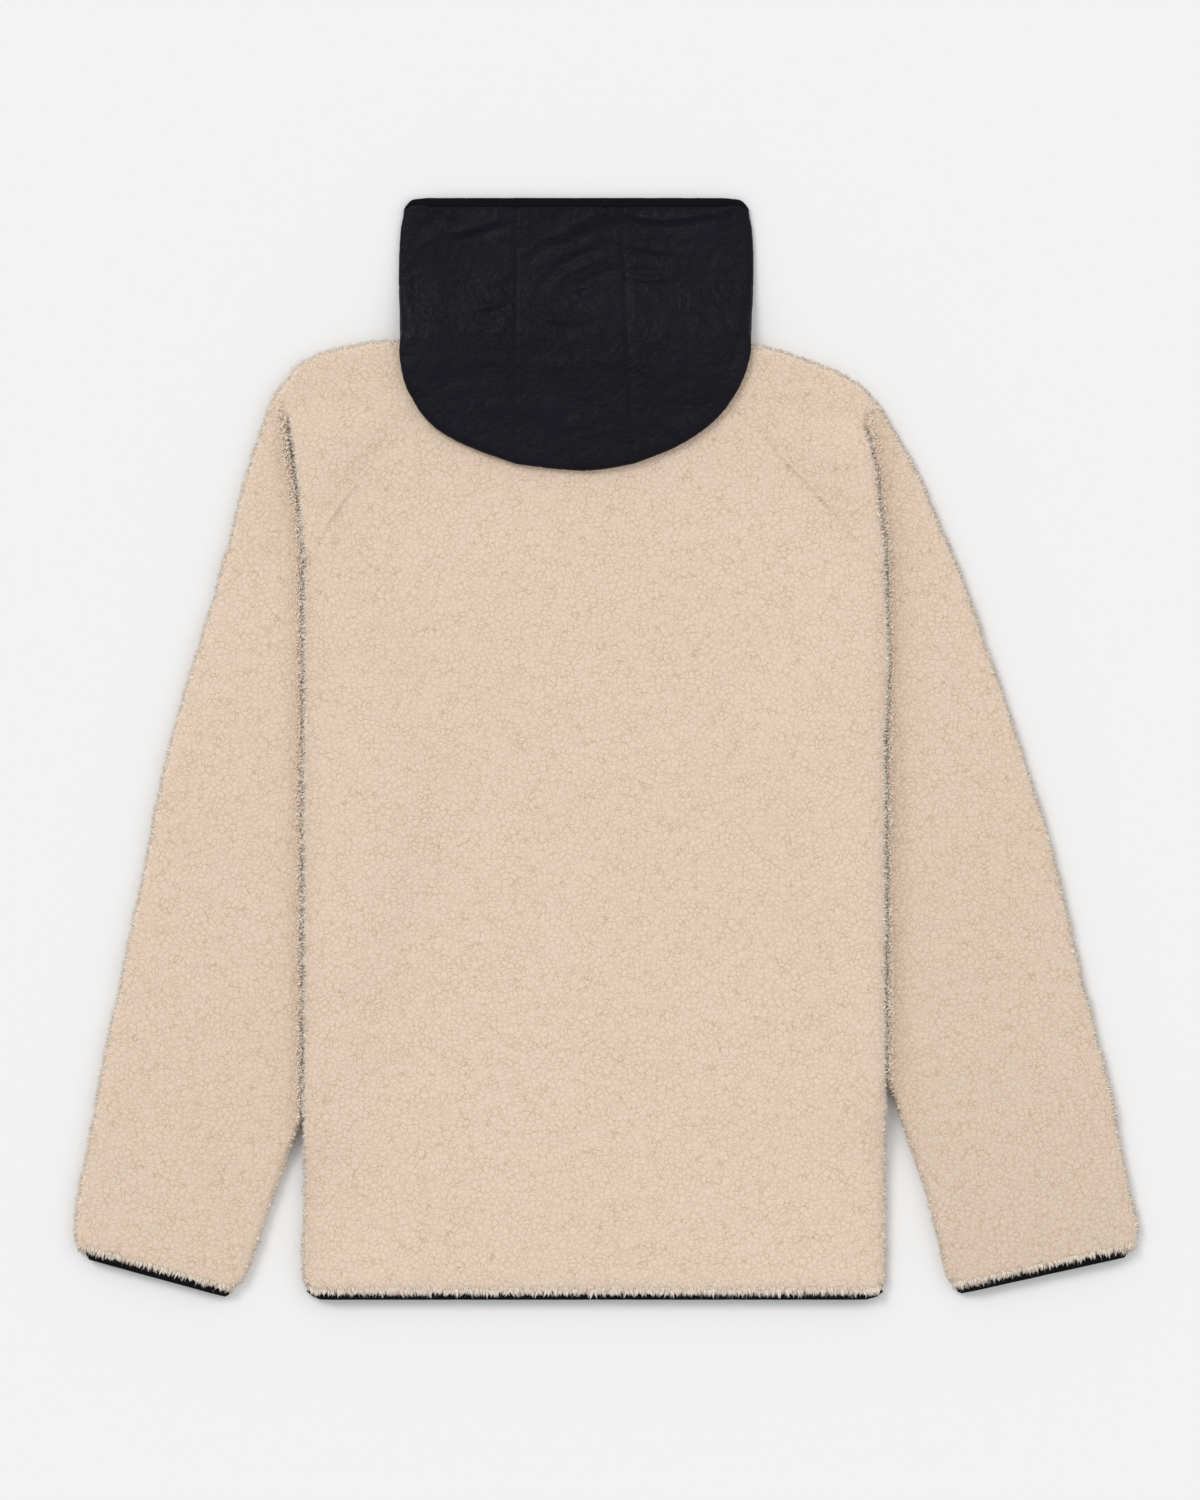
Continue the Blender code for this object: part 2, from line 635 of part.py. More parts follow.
def make_hem_binding(material):
    """A band from the zip round one side fold, along the back, and round to the zip."""
    wall = Wall(BINDING)
    reach = BEND + BINDING / 2
    rows = []
    for (y, left), (_, right) in zip(LEFT["HEM_CORNER"], RIGHT["HEM_CORNER"]):
        middle = LAYER[0] + BEND
        row = []
        for side, fold, sign in ((LEFT, left, -1), (RIGHT, right, 1)):
            out = Vector((side["out"], 0, 0))
            edge = zip_x(y) + out.x * GROOVE
            centre = Vector((fold - out.x * reach, y, middle))
            half = [(sign * 5, (edge, y, LAYER[0]), DOWN),
                    (sign * 4, (between(edge, centre.x, 0.5), y, LAYER[0]), DOWN)]
            half += number(bend(centre, out, BEND, 180, 0, 4), sign * 3, sign * 2)
            half.append((sign, (between(centre.x, zip_x(y), 0.5), y, LAYER[1]), UP))
            row += half if sign < 0 else list(reversed(half))
        rows.append(wall.row(row))
    wall.stack(rows)
    return wall.solid("hem_binding", material)


# ---------------------------------------------------------------- hood

def hood_top(y):
    return read(HOOD_TOP, y)


def hood_seam(side, y):
    """The seam between the middle and a side panel, on the top layer."""
    rim, crown = HOOD_SEAM_LEFT if side is LEFT else HOOD_SEAM_RIGHT
    share = (y - HOOD_CROWN_Y) / (HOOD_RIM_Y - HOOD_CROWN_Y)
    return between(crown, rim, share)


def hood_bend(x, y, direction, low, top_y=None):
    """The side fold at a place: its points from the top layer to the lower one."""
    out = Vector((math.cos(math.radians(direction)), math.sin(math.radians(direction)), 0))
    high = hood_top(y if top_y is None else top_y)
    radius = (high - low) / 2
    centre = Vector((x, y, (high + low) / 2)) - out * (radius + NYLON / 2)
    return [(point, None) for point, _ in bend(centre, out, radius, 0, 180, 5)]


def hood_row(side, x, y, seam_y, direction, low, straight=False):
    """A side panel's row from its top seam to the end of its fold."""
    seam_x = hood_seam(side, seam_y) + side["out"] * SEAM / 2
    fold = hood_bend(x, y, direction, low)
    start = fold[0][0]
    row = [(0, (seam_x, seam_y, hood_top(seam_y)), None)]
    half = between(Vector((seam_x, seam_y, 0)), start, 0.5)
    if straight:
        half = Vector((start.x - side["out"] * HOOD_SHOULDER, seam_y, 0))
    row.append((0.5, (half.x, half.y, hood_top(half.y)), None))
    return row + number(fold, 1, 2)


def make_hood_side(name, side, material):
    """Top layer, side fold and lower layer, which splits at the shoulder: one part runs
    on the floor to the front edge and the front neckline, the other over the shoulder
    and along the back."""
    out = side["out"]
    sideways = 180.0 if out < 0 else 0.0
    wall = Wall(NYLON)
    front_x = ZIP_NECK[0] + out * SEAM / 2
    neck_x = side["NECK_BACK"][0] - out * 2 * SEAM
    floor, rows = HOOD_ON_FLOOR, []
    for x, y, seam_y in side["HOOD_UP"]:
        row = hood_row(side, x, y, seam_y, sideways, floor, straight=True)
        row.append((2.2, (row[2][1].x - out * HOOD_SHOULDER, seam_y, floor), None))
        row.append((2.4, (neck_x, seam_y, floor), None))
        row.append((2.7, (between(neck_x, front_x, 0.5), seam_y, floor), None))
        row.append((3, (front_x, seam_y, floor), None))
        rows.append(wall.row(row))
    wall.stack(rows)

    # Down to the front neckline, on the floor.
    neckline = [
        (2.4 + 0.15 * k, (x, y + 1.0, floor), None)
        for k, (x, y) in enumerate(side["FRONT_NECK"][:-1])]
    neckline.append((3, (front_x, side["FRONT_NECK"][-1][1] + 1.0, floor), None))
    wall.join(rows[-1], wall.row(neckline), low=2.4)

    # Over the shoulder's rounded edge and down the back to the crown.
    edge_y, edge_z = 314.5 - REACH, LAYER[0] + BEND
    clear = HOOD_ON_BACK - edge_z
    over = [rows[-1]]
    for angle, x, y in side["HOOD_OVER"]:
        turn = math.radians(angle)
        end_y, low = edge_y + clear * math.cos(turn), edge_z + clear * math.sin(turn)
        row = hood_row(side, x, y, y, sideways, low)
        row.append((2.4, (neck_x, end_y, low), None))
        over.append(wall.row(row))
    for x, y, direction, seam_y, end_x, end_y in side["HOOD_DOWN"]:
        row = hood_row(side, x, y, seam_y, direction, HOOD_ON_BACK)
        last = row[-1][1]
        half = between(Vector(last), Vector((end_x, end_y, HOOD_ON_BACK)), 0.5)
        row.append((2.2, half, None))
        row.append((2.4, (end_x, end_y, HOOD_ON_BACK), None))
        over.append(wall.row(row))
    corner_x = hood_seam(side, HOOD_CROWN_Y) + out * SEAM / 2
    corner = hood_bend(corner_x, side["HOOD_CORNER_Y"], 270.0, HOOD_ON_BACK, HOOD_CROWN_Y)
    over.append(wall.row(number(corner, 1, 2)))
    wall.stack(over, high=2.4)
    return wall.solid(name, material)


def make_hood_centre(material):
    """The middle panel: top layer, the crown's fold, and back up to the neckline."""
    wall = Wall(NYLON)
    high, low = hood_top(HOOD_CROWN_Y), HOOD_ON_BACK
    radius = (high - low) / 2
    reach = radius + NYLON / 2
    shares = [0, 0.2, 0.4, 0.6, 0.8, 1]
    tops = (416.5, 405.0, 385.0, 368.0, 355.0, 340.0, 331.0, 320.5, 309.0, 297.0, 270.0, 245.0)

    def x_at(share, y):
        left = hood_seam(LEFT, y) + SEAM / 2
        return between(left, hood_seam(RIGHT, y) - SEAM / 2, share)

    rows = [
        wall.row([(share, (x_at(share, y), y, hood_top(y)), None) for share in shares])
        for y in tops]
    down = Vector((0, -1, 0))
    fold = []
    for share in shares:
        x = x_at(share, HOOD_CROWN_Y)
        centre = Vector((x, read(HOOD_CROWN, x) + reach, (high + low) / 2))
        fold.append(bend(centre, down, radius, 0, 180, 5))
    for step in range(6):
        rows.append(wall.row([
            (share, fold[k][step][0], None) for k, share in enumerate(shares)]))
    for y in (245.0, HOOD_NECK_Y):
        rows.append(wall.row([
            (share, (x_at(share, HOOD_CROWN_Y), y, low), None) for share in shares]))
    wall.stack(rows)
    return wall.solid("hood_centre", material)


def make_hood_binding(material):
    """A flat ring round the face opening, open at the front edges."""
    wall = Wall(RIM)
    rows = []
    # y at the sides, y in the middle, side fold on the left and on the right
    for side_y, mid_y, left, right in (
            (413.2, 417.2, -157.0, 109.0), (417.5, 421.5, -155.0, 107.0),
            (420.0, 424.0, -151.0, 102.5)):
        high, low = hood_top(mid_y), HOOD_ON_FLOOR + 0.2
        radius = (high - low) / 2
        row = []
        for side, fold, sign in ((LEFT, left, -1), (RIGHT, right, 1)):
            out = Vector((side["out"], 0, 0))
            centre = Vector((fold - out.x * (radius + RIM / 2), side_y, (high + low) / 2))
            front = ZIP_NECK[0] + out.x * SEAM / 2
            shoulder = centre.x - out.x * HOOD_SHOULDER
            half = [(sign * 5, (front, mid_y, low), DOWN),
                    (sign * 4, (shoulder, mid_y, low), DOWN)]
            half += number(bend(centre, out, radius, 180, 0, 4), sign * 3, sign * 2)
            half.append((sign, (shoulder, mid_y, high), UP))
            row += half if sign < 0 else list(reversed(half))
        rows.append(wall.row(row))
    wall.stack(rows)
    return wall.solid("hood_binding", material)


# ---------------------------------------------------------------- zip

TAPE = (3.7, 4.5)               # z of the tape's faces
CHAIN = (3.4, 4.8)              # z of the half chain's faces
CHAIN_IN = 1.8                  # from the zip's line to the chain's outer side
OPEN = 1.15                     # the same to its inner side where the zip is undone


def make_zip_half(name, side, material):
    """Tape and half chain as one strip, drawn apart above the slider."""
    out = side["out"]
    closed = SEAM / 2
    points, faces = [], []
    for y, inside in ((ZIP_HEM[1], closed), (SLIDER_Y - 4.0, closed),
                      (SLIDER_Y + 1.0, OPEN), (ZIP_NECK[1], OPEN)):
        chain = max(CHAIN_IN, inside + 1.2)
        profile = [
            (GROOVE - SEAM, TAPE[0]), (chain, TAPE[0]), (chain, CHAIN[0]),
            (inside, CHAIN[0]), (inside, CHAIN[1]), (chain, CHAIN[1]),
            (chain, TAPE[1]), (GROOVE - SEAM, TAPE[1])]
        points += [(zip_x(y) + out * x, y, z) for x, z in profile]
    count = 8
    for row in range(3):
        for k in range(count):
            a, b = row * count + k, row * count + (k + 1) % count
            faces.append((a, b, b + count, a + count))
    # The ends are cut along the profile's own steps, which is not convex.
    cap = [(0, 1, 6, 7), (1, 2, 5, 6), (2, 3, 4, 5)]
    last = 3 * count
    faces += [tuple(reversed(face)) for face in cap]
    faces += [tuple(last + i for i in face) for face in cap]
    if out < 0:
        faces = [tuple(reversed(face)) for face in faces]
    return add_mesh(name, points, faces, material)


def prism(name, outline, axis, low, high, material, origin):
    """A straight-sided solid: an outline pulled along an axis from low to high."""
    place = {"x": lambda u, v, w: (w, u, v), "z": lambda u, v, w: (u, v, w)}[axis]
    count = len(outline)
    points = [place(u, v, low) for u, v in outline] + [place(u, v, high) for u, v in outline]
    faces = [tuple(range(count - 1, -1, -1)), tuple(range(count, 2 * count))]
    faces += [(k, (k + 1) % count, count + (k + 1) % count, count + k) for k in range(count)]
    points = [Vector(point) + Vector(origin) for point in points]
    return add_mesh(name, points, faces, material, origin)


def join_solid(body, tool):
    """Fuse a second solid into the first with a live Boolean."""
    tool.hide_render = True
    tool.display_type = "WIRE"
    union = body.modifiers.new(tool.name, "BOOLEAN")
    union.operation = "UNION"
    union.object = tool


def box_outline(half_width, low, high):
    return [(-half_width, low), (half_width, low), (half_width, high), (-half_width, high)]


def make_slider(material):
    """Two plates joined by a post between the half chains, with an arch for the pull."""
    origin = (zip_x(SLIDER_Y), SLIDER_Y, HINGE_Z)
    upper = [(-2.6, -4.5), (2.6, -4.5), (3.6, 3.0), (2.4, 4.5), (-2.4, 4.5), (-3.6, 3.0)]
    slider = prism("zip_slider", upper, "z", 5.1 - HINGE_Z, 5.7 - HINGE_Z, material, origin)
    lower = prism("slider_plate", upper, "z", 2.5 - HINGE_Z, 3.1 - HINGE_Z, material, origin)
    post = prism("slider_post", box_outline(0.8, 1.6, 3.8), "z",
                 2.8 - HINGE_Z, 5.4 - HINGE_Z, material, origin)
    arch = [(-3.2, 1.0), (-3.2, -1.5), (3.2, -1.5), (3.2, 1.0), (2.4, 1.0), (2.4, -0.7),
            (-2.4, -0.7), (-2.4, 1.0)]
    bridge = prism("slider_arch", arch, "x", -0.7, 0.7, material, origin)
    for tool in (post, lower, bridge):
        join_solid(slider, tool)
    return slider


def make_pull(material):
    """A tab with an eye.  Its crossbar lies in the slider's arch, on the hinge's axis."""
    origin = (zip_x(SLIDER_Y), SLIDER_Y, HINGE_Z)
    half = 0.4
    bar = [(half * math.cos(math.radians(a)), half * math.sin(math.radians(a)))
           for a in range(0, 360, 30)]
    pull = prism("zip_pull", bar, "x", -2.4, 2.4, material, origin)
    for name, x in (("pull_arm_left", -1.8), ("pull_arm_right", 1.8)):
        arm = [(x - 0.6, -4.6), (x + 0.6, -4.6), (x + 0.6, 0.0), (x - 0.6, 0.0)]
        join_solid(pull, prism(name, arm, "z", -half, half, material, origin))
    tab = [(-2.4, -4.0), (-2.9, -8.0), (-2.9, -21.0), (-1.9, -24.0), (1.9, -24.0),
           (2.9, -21.0), (2.9, -8.0), (2.4, -4.0)]
    join_solid(pull, prism("pull_tab", tab, "z", -half, half, material, origin))
    return pull


# ---------------------------------------------------------------- jacket

def main():
    for thing in list(bpy.data.objects):
        bpy.data.objects.remove(thing)
    fleece = make_material("fleece", (0.74, 0.60, 0.46), 1.0)
    nylon = make_material("nylon", (0.014, 0.013, 0.018), 0.55)
    tape = make_material("binding", (0.010, 0.009, 0.011), 0.8)
    metal = make_material("zip_metal", (0.03, 0.03, 0.032), 0.35, 1.0)
    make_back(fleece)
    for name, side in SIDES.items():
        make_front("front_" + name, side, fleece)
        make_sleeve("sleeve_" + name, side, fleece)
        make_hood_side("hood_" + name, side, nylon)
        make_cuff_binding("cuff_binding_" + name, side, tape)
        make_zip_half("zip_" + name, side, tape)
    make_hood_centre(nylon)
    make_hood_binding(tape)
    make_hem_binding(tape)
    make_slider(metal)
    make_pull(metal)


main()
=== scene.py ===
"""Looks for the hooded fleece jacket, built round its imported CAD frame."""
import math

import bmesh
import bpy
import numpy as np
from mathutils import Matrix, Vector
from mathutils.bvhtree import BVHTree
from mathutils.kdtree import KDTree


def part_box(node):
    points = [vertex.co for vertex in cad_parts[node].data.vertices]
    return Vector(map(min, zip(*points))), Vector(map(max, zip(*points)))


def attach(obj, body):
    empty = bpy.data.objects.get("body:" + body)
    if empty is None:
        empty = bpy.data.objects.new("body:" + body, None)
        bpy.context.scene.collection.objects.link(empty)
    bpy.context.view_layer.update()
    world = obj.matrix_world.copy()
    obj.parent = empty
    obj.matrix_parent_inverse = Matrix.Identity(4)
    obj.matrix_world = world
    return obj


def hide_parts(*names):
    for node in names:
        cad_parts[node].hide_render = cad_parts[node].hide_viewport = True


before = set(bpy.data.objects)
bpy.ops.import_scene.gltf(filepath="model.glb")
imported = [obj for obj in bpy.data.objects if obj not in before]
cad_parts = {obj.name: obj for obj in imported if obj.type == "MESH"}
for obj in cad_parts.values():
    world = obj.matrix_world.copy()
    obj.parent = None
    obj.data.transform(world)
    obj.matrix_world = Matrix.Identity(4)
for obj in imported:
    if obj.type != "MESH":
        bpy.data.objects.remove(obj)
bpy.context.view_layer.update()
NODES = sorted(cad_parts)
RNG = np.random.default_rng(7)
MM = 0.001


# ---------------------------------------------------------------- camera, light and floor

def make_stage():
    scene = bpy.context.scene
    scene.view_settings.view_transform = "Standard"
    distance, sensor, seen_height = 6.0, 36.0, 1.155
    lens = bpy.data.cameras.new("camera")
    lens.lens = sensor * distance / seen_height
    lens.clip_end = 60.0
    camera = bpy.data.objects.new("camera", lens)
    camera.location = (-0.0058, -0.0008, distance)
    scene.collection.objects.link(camera)
    scene.camera = camera

    world = bpy.data.worlds.new("studio")
    scene.world = world
    world.use_nodes = True
    sky = world.node_tree.nodes["Background"].inputs
    sky["Color"].default_value = (0.98, 0.99, 1.0, 1)
    sky["Strength"].default_value = 0.70

    for name, energy, angle, colour, way in (
            ("key", 1.05, 26, (1.0, 0.99, 0.97), (-0.55, 0.62, 1.0)),
            ("fill", 0.423, 60, (1.0, 0.99, 0.98), (0.75, 0.10, 0.80))):
        sun = bpy.data.lights.new(name, "SUN")
        sun.energy, sun.angle, sun.color = energy, math.radians(angle), colour
        light = bpy.data.objects.new(name, sun)
        light.rotation_euler = Vector(way).to_track_quat("Z", "Y").to_euler()
        scene.collection.objects.link(light)

    mesh = bpy.data.meshes.new("floor")
    mesh.from_pydata([(-9, -9, 0), (9, -9, 0), (9, 9, 0), (-9, 9, 0)], [], [(0, 1, 2, 3)])
    floor = bpy.data.objects.new("floor", mesh)
    floor.location.z = -0.0002
    scene.collection.objects.link(floor)
    mesh.materials.append(new_material("floor", (0.857, 0.854, 0.855), 0.9, specular=0.1)[0])


# ---------------------------------------------------------------- materials

def new_material(name, colour, roughness, metallic=0.0, specular=0.5, sheen=0.0):
    material = bpy.data.materials.new(name)
    material.use_nodes = True
    shader = material.node_tree.nodes["Principled BSDF"]
    for socket, value in (("Base Color", (*colour, 1)), ("Roughness", roughness), ("Metallic", metallic),
                          ("Specular IOR Level", specular), ("Sheen Weight", sheen)):
        shader.inputs[socket].default_value = value
    return material, shader, Tree(material.node_tree)


class Tree:
    """Short calls for building a node tree, the same in shaders and in geometry nodes."""

    def __init__(self, tree):
        self.tree = tree

    def put(self, value, socket):
        if isinstance(value, bpy.types.NodeSocket):
            self.tree.links.new(value, socket)
        else:
            socket.default_value = value

    def add(self, kind, inputs=(), **settings):
        node = self.tree.nodes.new(kind)
        for name, value in settings.items():
            setattr(node, name, value)
        for name, value in dict(inputs).items():
            self.put(value, node.inputs[name])
        return node

    def math(self, operation, a, b):
        return self.add("ShaderNodeMath", {0: a, 1: b}, operation=operation).outputs[0]

    def vector(self, operation, a, b):
        return self.add("ShaderNodeVectorMath", {0: a, 1: b}, operation=operation).outputs[0]

    def scaled(self, vector, scale):
        return self.add("ShaderNodeVectorMath", {0: vector, "Scale": scale}, operation="SCALE").outputs[0]

    def noise(self, place, scale, detail=2.0, rough=0.5, output="Fac"):
        return self.add("ShaderNodeTexNoise", {
            "Vector": place, "Scale": scale, "Detail": detail, "Roughness": rough}).outputs[output]

    def wave(self, place, scale, distortion, way):
        return self.add("ShaderNodeTexWave", {
            "Vector": place, "Scale": scale, "Distortion": distortion}, bands_direction=way).outputs["Fac"]

    def cells(self, place, scale):
        """Distance to the nearest cell's edge."""
        return self.add("ShaderNodeTexVoronoi", {
            "Vector": place, "Scale": scale}, feature="DISTANCE_TO_EDGE").outputs["Distance"]

    def ease(self, value, low, high, to_low=0.0, to_high=1.0):
        node = self.add("ShaderNodeMapRange", {
            "Value": value, "From Min": low, "From Max": high,
            "To Min": to_low, "To Max": to_high}, interpolation_type="SMOOTHSTEP")
        return node.outputs[0]

    def mix(self, share, a, b, **settings):
        """Mix two colours, each a socket or (r, g, b)."""
        node = self.add("ShaderNodeMix", {0: share}, data_type="RGBA", **settings)
        for value, socket in ((a, node.inputs[6]), (b, node.inputs[7])):
            self.put((*value, 1) if isinstance(value, tuple) else value, socket)
        return node.outputs[2]

    def attribute(self, name):
        return self.add("ShaderNodeAttribute", attribute_name=name).outputs["Vector"]

    def own_place(self):
        return self.add("ShaderNodeTexCoord").outputs["Object"]

    def warped(self, place, scale, amount):
        """The place, pushed about by noise, so that cell edges wave."""
        push = self.vector("SUBTRACT", self.noise(place, scale, output="Color"), (0.5, 0.5, 0.5))
        return self.vector("ADD", place, self.scaled(push, amount))

    def bump(self, height, strength, distance, **under):
        return self.add("ShaderNodeBump", {
            "Height": height, "Strength": strength, "Distance": distance, **under}).outputs[0]

    def dress(self, shader, colour, normal):
        self.put(colour, shader.inputs["Base Color"])
        self.put(normal, shader.inputs["Normal"])


def fleece_material():
    """Curls about 5 mm across, hairline crevices that come and go, painted darker as shade,
    and warm patches.  A point attribute holds painted shade in a crease, painted light where
    the cloth turns over a fold, and a darkening factor by place that paints shade."""
    material, shader, tree = new_material(
        "fleece_pile_painted_shading", (0.74, 0.60, 0.46), 1.0, specular=0.08, sheen=0.12)
    place = tree.attribute("rest")
    painted_shading = tree.add("ShaderNodeSeparateXYZ", {"Vector": tree.attribute("painted_shading")}).outputs
    edge = tree.cells(tree.warped(tree.warped(place, 60.0, 0.0060), 260.0, 0.0036), 235.0)
    curl = tree.ease(edge, 0.0, 0.095)
    small = tree.cells(tree.warped(place, 600.0, 0.002), 520.0)
    fibre = tree.noise(place, 1500.0, 3.0, 0.6)
    patch, tone = tree.noise(place, 30.0), tree.noise(place, 9.0)
    warm = tree.mix(tree.ease(patch, 0.35, 0.65), (0.795, 0.644, 0.524), (0.808, 0.640, 0.520))
    cell = tree.mix(tree.ease(tone, 0.3, 0.7), warm, (0.790, 0.636, 0.510))
    # painted shade: the crevices between curls are coloured darker, more in some places than others
    deep = tree.ease(tree.noise(place, 95.0, 3.0), 0.30, 0.68)
    crevice_shade = tree.mix(deep, (0.600, 0.440, 0.305), (0.715, 0.550, 0.420))
    colour = tree.mix(curl, crevice_shade, cell)
    # painted shade in the small curls' fine crevices, with tone varied by the fibre noise
    fine = tree.math("MULTIPLY", tree.ease(small, 0.0, 0.12), tree.ease(fibre, 0.25, 0.75, 0.6, 1.0))
    light = tree.mix(fine, (0.925, 0.91, 0.88), (1, 1, 1))
    colour = tree.mix(1.0, colour, light, blend_type="MULTIPLY")
    # painted shade in the crease beside the body's edge
    crease_shade_colour = tree.mix(curl, (0.430, 0.290, 0.185), (0.600, 0.450, 0.325))
    colour = tree.mix(painted_shading["X"], colour, crease_shade_colour)
    # painted light: a paler colour where the cloth turns over a fold
    colour = tree.mix(painted_shading["Y"], colour, (0.920, 0.835, 0.745))
    # painted shade: the colour is multiplied by a darkening factor by place
    shade = tree.add("ShaderNodeCombineColor", {0: painted_shading["Z"], 1: painted_shading["Z"], 2: painted_shading["Z"]})
    colour = tree.mix(1.0, colour, shade.outputs[0], blend_type="MULTIPLY")
    height = tree.math("ADD", tree.ease(edge, 0.0, 0.24),
                       tree.math("MULTIPLY", tree.ease(small, 0.0, 0.25), 0.30))
    height = tree.math("ADD", height, tree.math("MULTIPLY", fibre, 0.45))
    tree.dress(shader, colour, tree.bump(height, 0.45, 0.0006))
    shader.inputs["Sheen Roughness"].default_value = 0.6
    shader.inputs["Sheen Tint"].default_value = (1.0, 0.95, 0.88, 1)
    return material


def tuft_material():
    # painted light: the tufts are paler than the fleece, against the shade on the folds they stand on; the
    # noise varies the tone
    material, shader, tree = new_material(
        "fleece_tufts_painted_paler", (0.84, 0.73, 0.61), 1.0, specular=0.08, sheen=0.12)
    shade = tree.ease(tree.noise(tree.own_place(), 300.0), 0.3, 0.7)
    tree.put(tree.mix(shade, (0.78, 0.655, 0.53), (0.90, 0.805, 0.70)), shader.inputs["Base Color"])
    return material


def nylon_material():
    """Plain weave, crinkled, with a low sheen."""
    material, shader, tree = new_material("hood_nylon", (0.006, 0.0055, 0.010), 0.5, specular=0.12)
    place = tree.attribute("rest")
    crinkle = tree.noise(tree.warped(place, 40.0, 0.01), 55.0, 5.0, 0.62)
    weave = tree.math("ADD", tree.wave(place, 320.0, 0.4, "X"), tree.wave(place, 320.0, 0.4, "Y"))
    colour = tree.mix(tree.ease(tree.noise(place, 14.0, 3.0), 0.3, 0.7),
                      (0.0024, 0.0020, 0.0057), (0.0044, 0.0038, 0.0086))
    rough = tree.ease(tree.noise(place, 30.0, 3.0), 0.3, 0.7, 0.31, 0.46)
    tree.put(rough, shader.inputs["Roughness"])
    tree.dress(shader, colour, tree.bump(weave, 0.25, 0.0002, Normal=tree.bump(crinkle, 1.0, 0.0036)))
    return material


def binding_material():
    """Tape with fine ribs across it."""
    material, shader, tree = new_material("binding_tape", (0.006, 0.0055, 0.007), 0.7, specular=0.06)
    place = tree.attribute("rest")
    ribs, grain = tree.wave(place, 260.0, 0.6, "X"), tree.noise(place, 900.0, 3.0)
    colour = tree.mix(grain, (0.0022, 0.0018, 0.0028), (0.0065, 0.0058, 0.0078))
    tree.dress(shader, colour, tree.bump(tree.math("ADD", ribs, grain), 0.4, 0.0003))
    return material


def metal_material():
    """Black nickel, brushed and a little worn."""
    material, shader, tree = new_material("zip_metal", (0.10, 0.10, 0.11), 0.35, 1.0)
    place = tree.own_place()
    brushed = tree.noise(tree.vector("MULTIPLY", place, (1.0, 0.08, 1.0)), 3200.0, 3.0)
    worn = tree.ease(tree.noise(place, 420.0, 4.0, 0.65), 0.52, 0.72)
    colour = tree.mix(worn, (0.075, 0.075, 0.082), (0.19, 0.185, 0.18))
    tree.put(tree.ease(brushed, 0.25, 0.75, 0.26, 0.46), shader.inputs["Roughness"])
    tree.dress(shader, colour, tree.bump(brushed, 0.25, 0.0001))
    return material


def zip_tape_material():
    """Herringbone tape."""
    material, shader, tree = new_material("zip_tape", (0.012, 0.011, 0.013), 0.75, specular=0.15)
    place = tree.attribute("rest")
    weave, grain = tree.wave(place, 420.0, 0.5, "DIAGONAL"), tree.noise(place, 1400.0)
    colour = tree.mix(weave, (0.006, 0.0055, 0.007), (0.016, 0.015, 0.018))
    height = tree.math("ADD", weave, tree.math("MULTIPLY", grain, 0.5))
    tree.dress(shader, colour, tree.bump(height, 0.5, 0.0002))
    return material


def thread_material():
    material, shader, tree = new_material("thread", (0.005, 0.0045, 0.007), 0.7, specular=0.12)
    twist = tree.wave(tree.own_place(), 900.0, 0.3, "DIAGONAL")
    tree.put(tree.mix(twist, (0.002, 0.0017, 0.003), (0.008, 0.007, 0.011)), shader.inputs["Base Color"])
    return material


# ---------------------------------------------------------------- meshes from the frame

def welded(node):
    """A CAD node's points and triangles, with split corners joined again."""
    points, faces = points_of(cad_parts[node]), faces_of(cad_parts[node])
    keys = np.round(points / 2e-6).astype(np.int64)
    _, first, inverse = np.unique(keys, axis=0, return_index=True, return_inverse=True)
    faces = inverse.reshape(-1)[faces]
    apart = (faces[:, 0] != faces[:, 1]) & (faces[:, 1] != faces[:, 2]) & (faces[:, 2] != faces[:, 0])
    return points[first], faces[apart]


def crosses(points, faces):
    """Each face's normal, twice as long as the face's area."""
    a, b, c = (points[faces[:, k]] for k in range(3))
    return np.cross(b - a, c - a)


def touched(points, faces):
    """True for the points that the faces use."""
    result = np.zeros(len(points), bool)
    result[faces.ravel()] = True
    return result


def normals_of(points, faces):
    cross = crosses(points, faces)
    return cross / np.maximum(np.linalg.norm(cross, axis=1), 1e-18)[:, None]


def areas_of(points, faces):
    return np.linalg.norm(crosses(points, faces), axis=1) / 2


def edges_of(faces, count):
    """Each face's three edges as numbers into the list of different edges."""
    ends = np.sort(faces[:, [[0, 1], [1, 2], [2, 0]]].reshape(-1, 2), axis=1).astype(np.int64)
    keys, inverse = np.unique(ends[:, 0] * count + ends[:, 1], return_inverse=True)
    return np.stack([keys // count, keys % count], axis=1), inverse.reshape(-1, 3)


def sides(points, faces):
    """A number for each smooth side of a closed mesh: sides meet at sharp edges."""
    normals = normals_of(points, faces)
    _, inverse = edges_of(faces, len(points))
    owners = {}
    for face, edges in enumerate(inverse.tolist()):
        for edge in edges:
            owners.setdefault(edge, []).append(face)
    near = [[] for _ in faces]
    for pair in owners.values():
        if len(pair) == 2 and normals[pair[0]].dot(normals[pair[1]]) > math.cos(math.radians(52)):
            near[pair[0]].append(pair[1])
            near[pair[1]].append(pair[0])
    side = np.full(len(faces), -1)
    count = 0
    for start in range(len(faces)):
        if side[start] >= 0:
            continue
        side[start], queue = count, [start]
        while queue:
            for other in near[queue.pop()]:
                if side[other] < 0:
                    side[other] = count
                    queue.append(other)
        count += 1
    return side


def outer_faces(points, faces, up):
    """True for the faces of the cloth's outer side, which holds the highest or lowest face."""
    side = sides(points, faces)
    middle = points[faces].mean(axis=1)[:, 2]
    flat = normals_of(points, faces)[:, 2] * (1 if up else -1) > 0.9
    height = np.where(flat, middle * (1 if up else -1), -1e9)
    return side == side[int(height.argmax())]


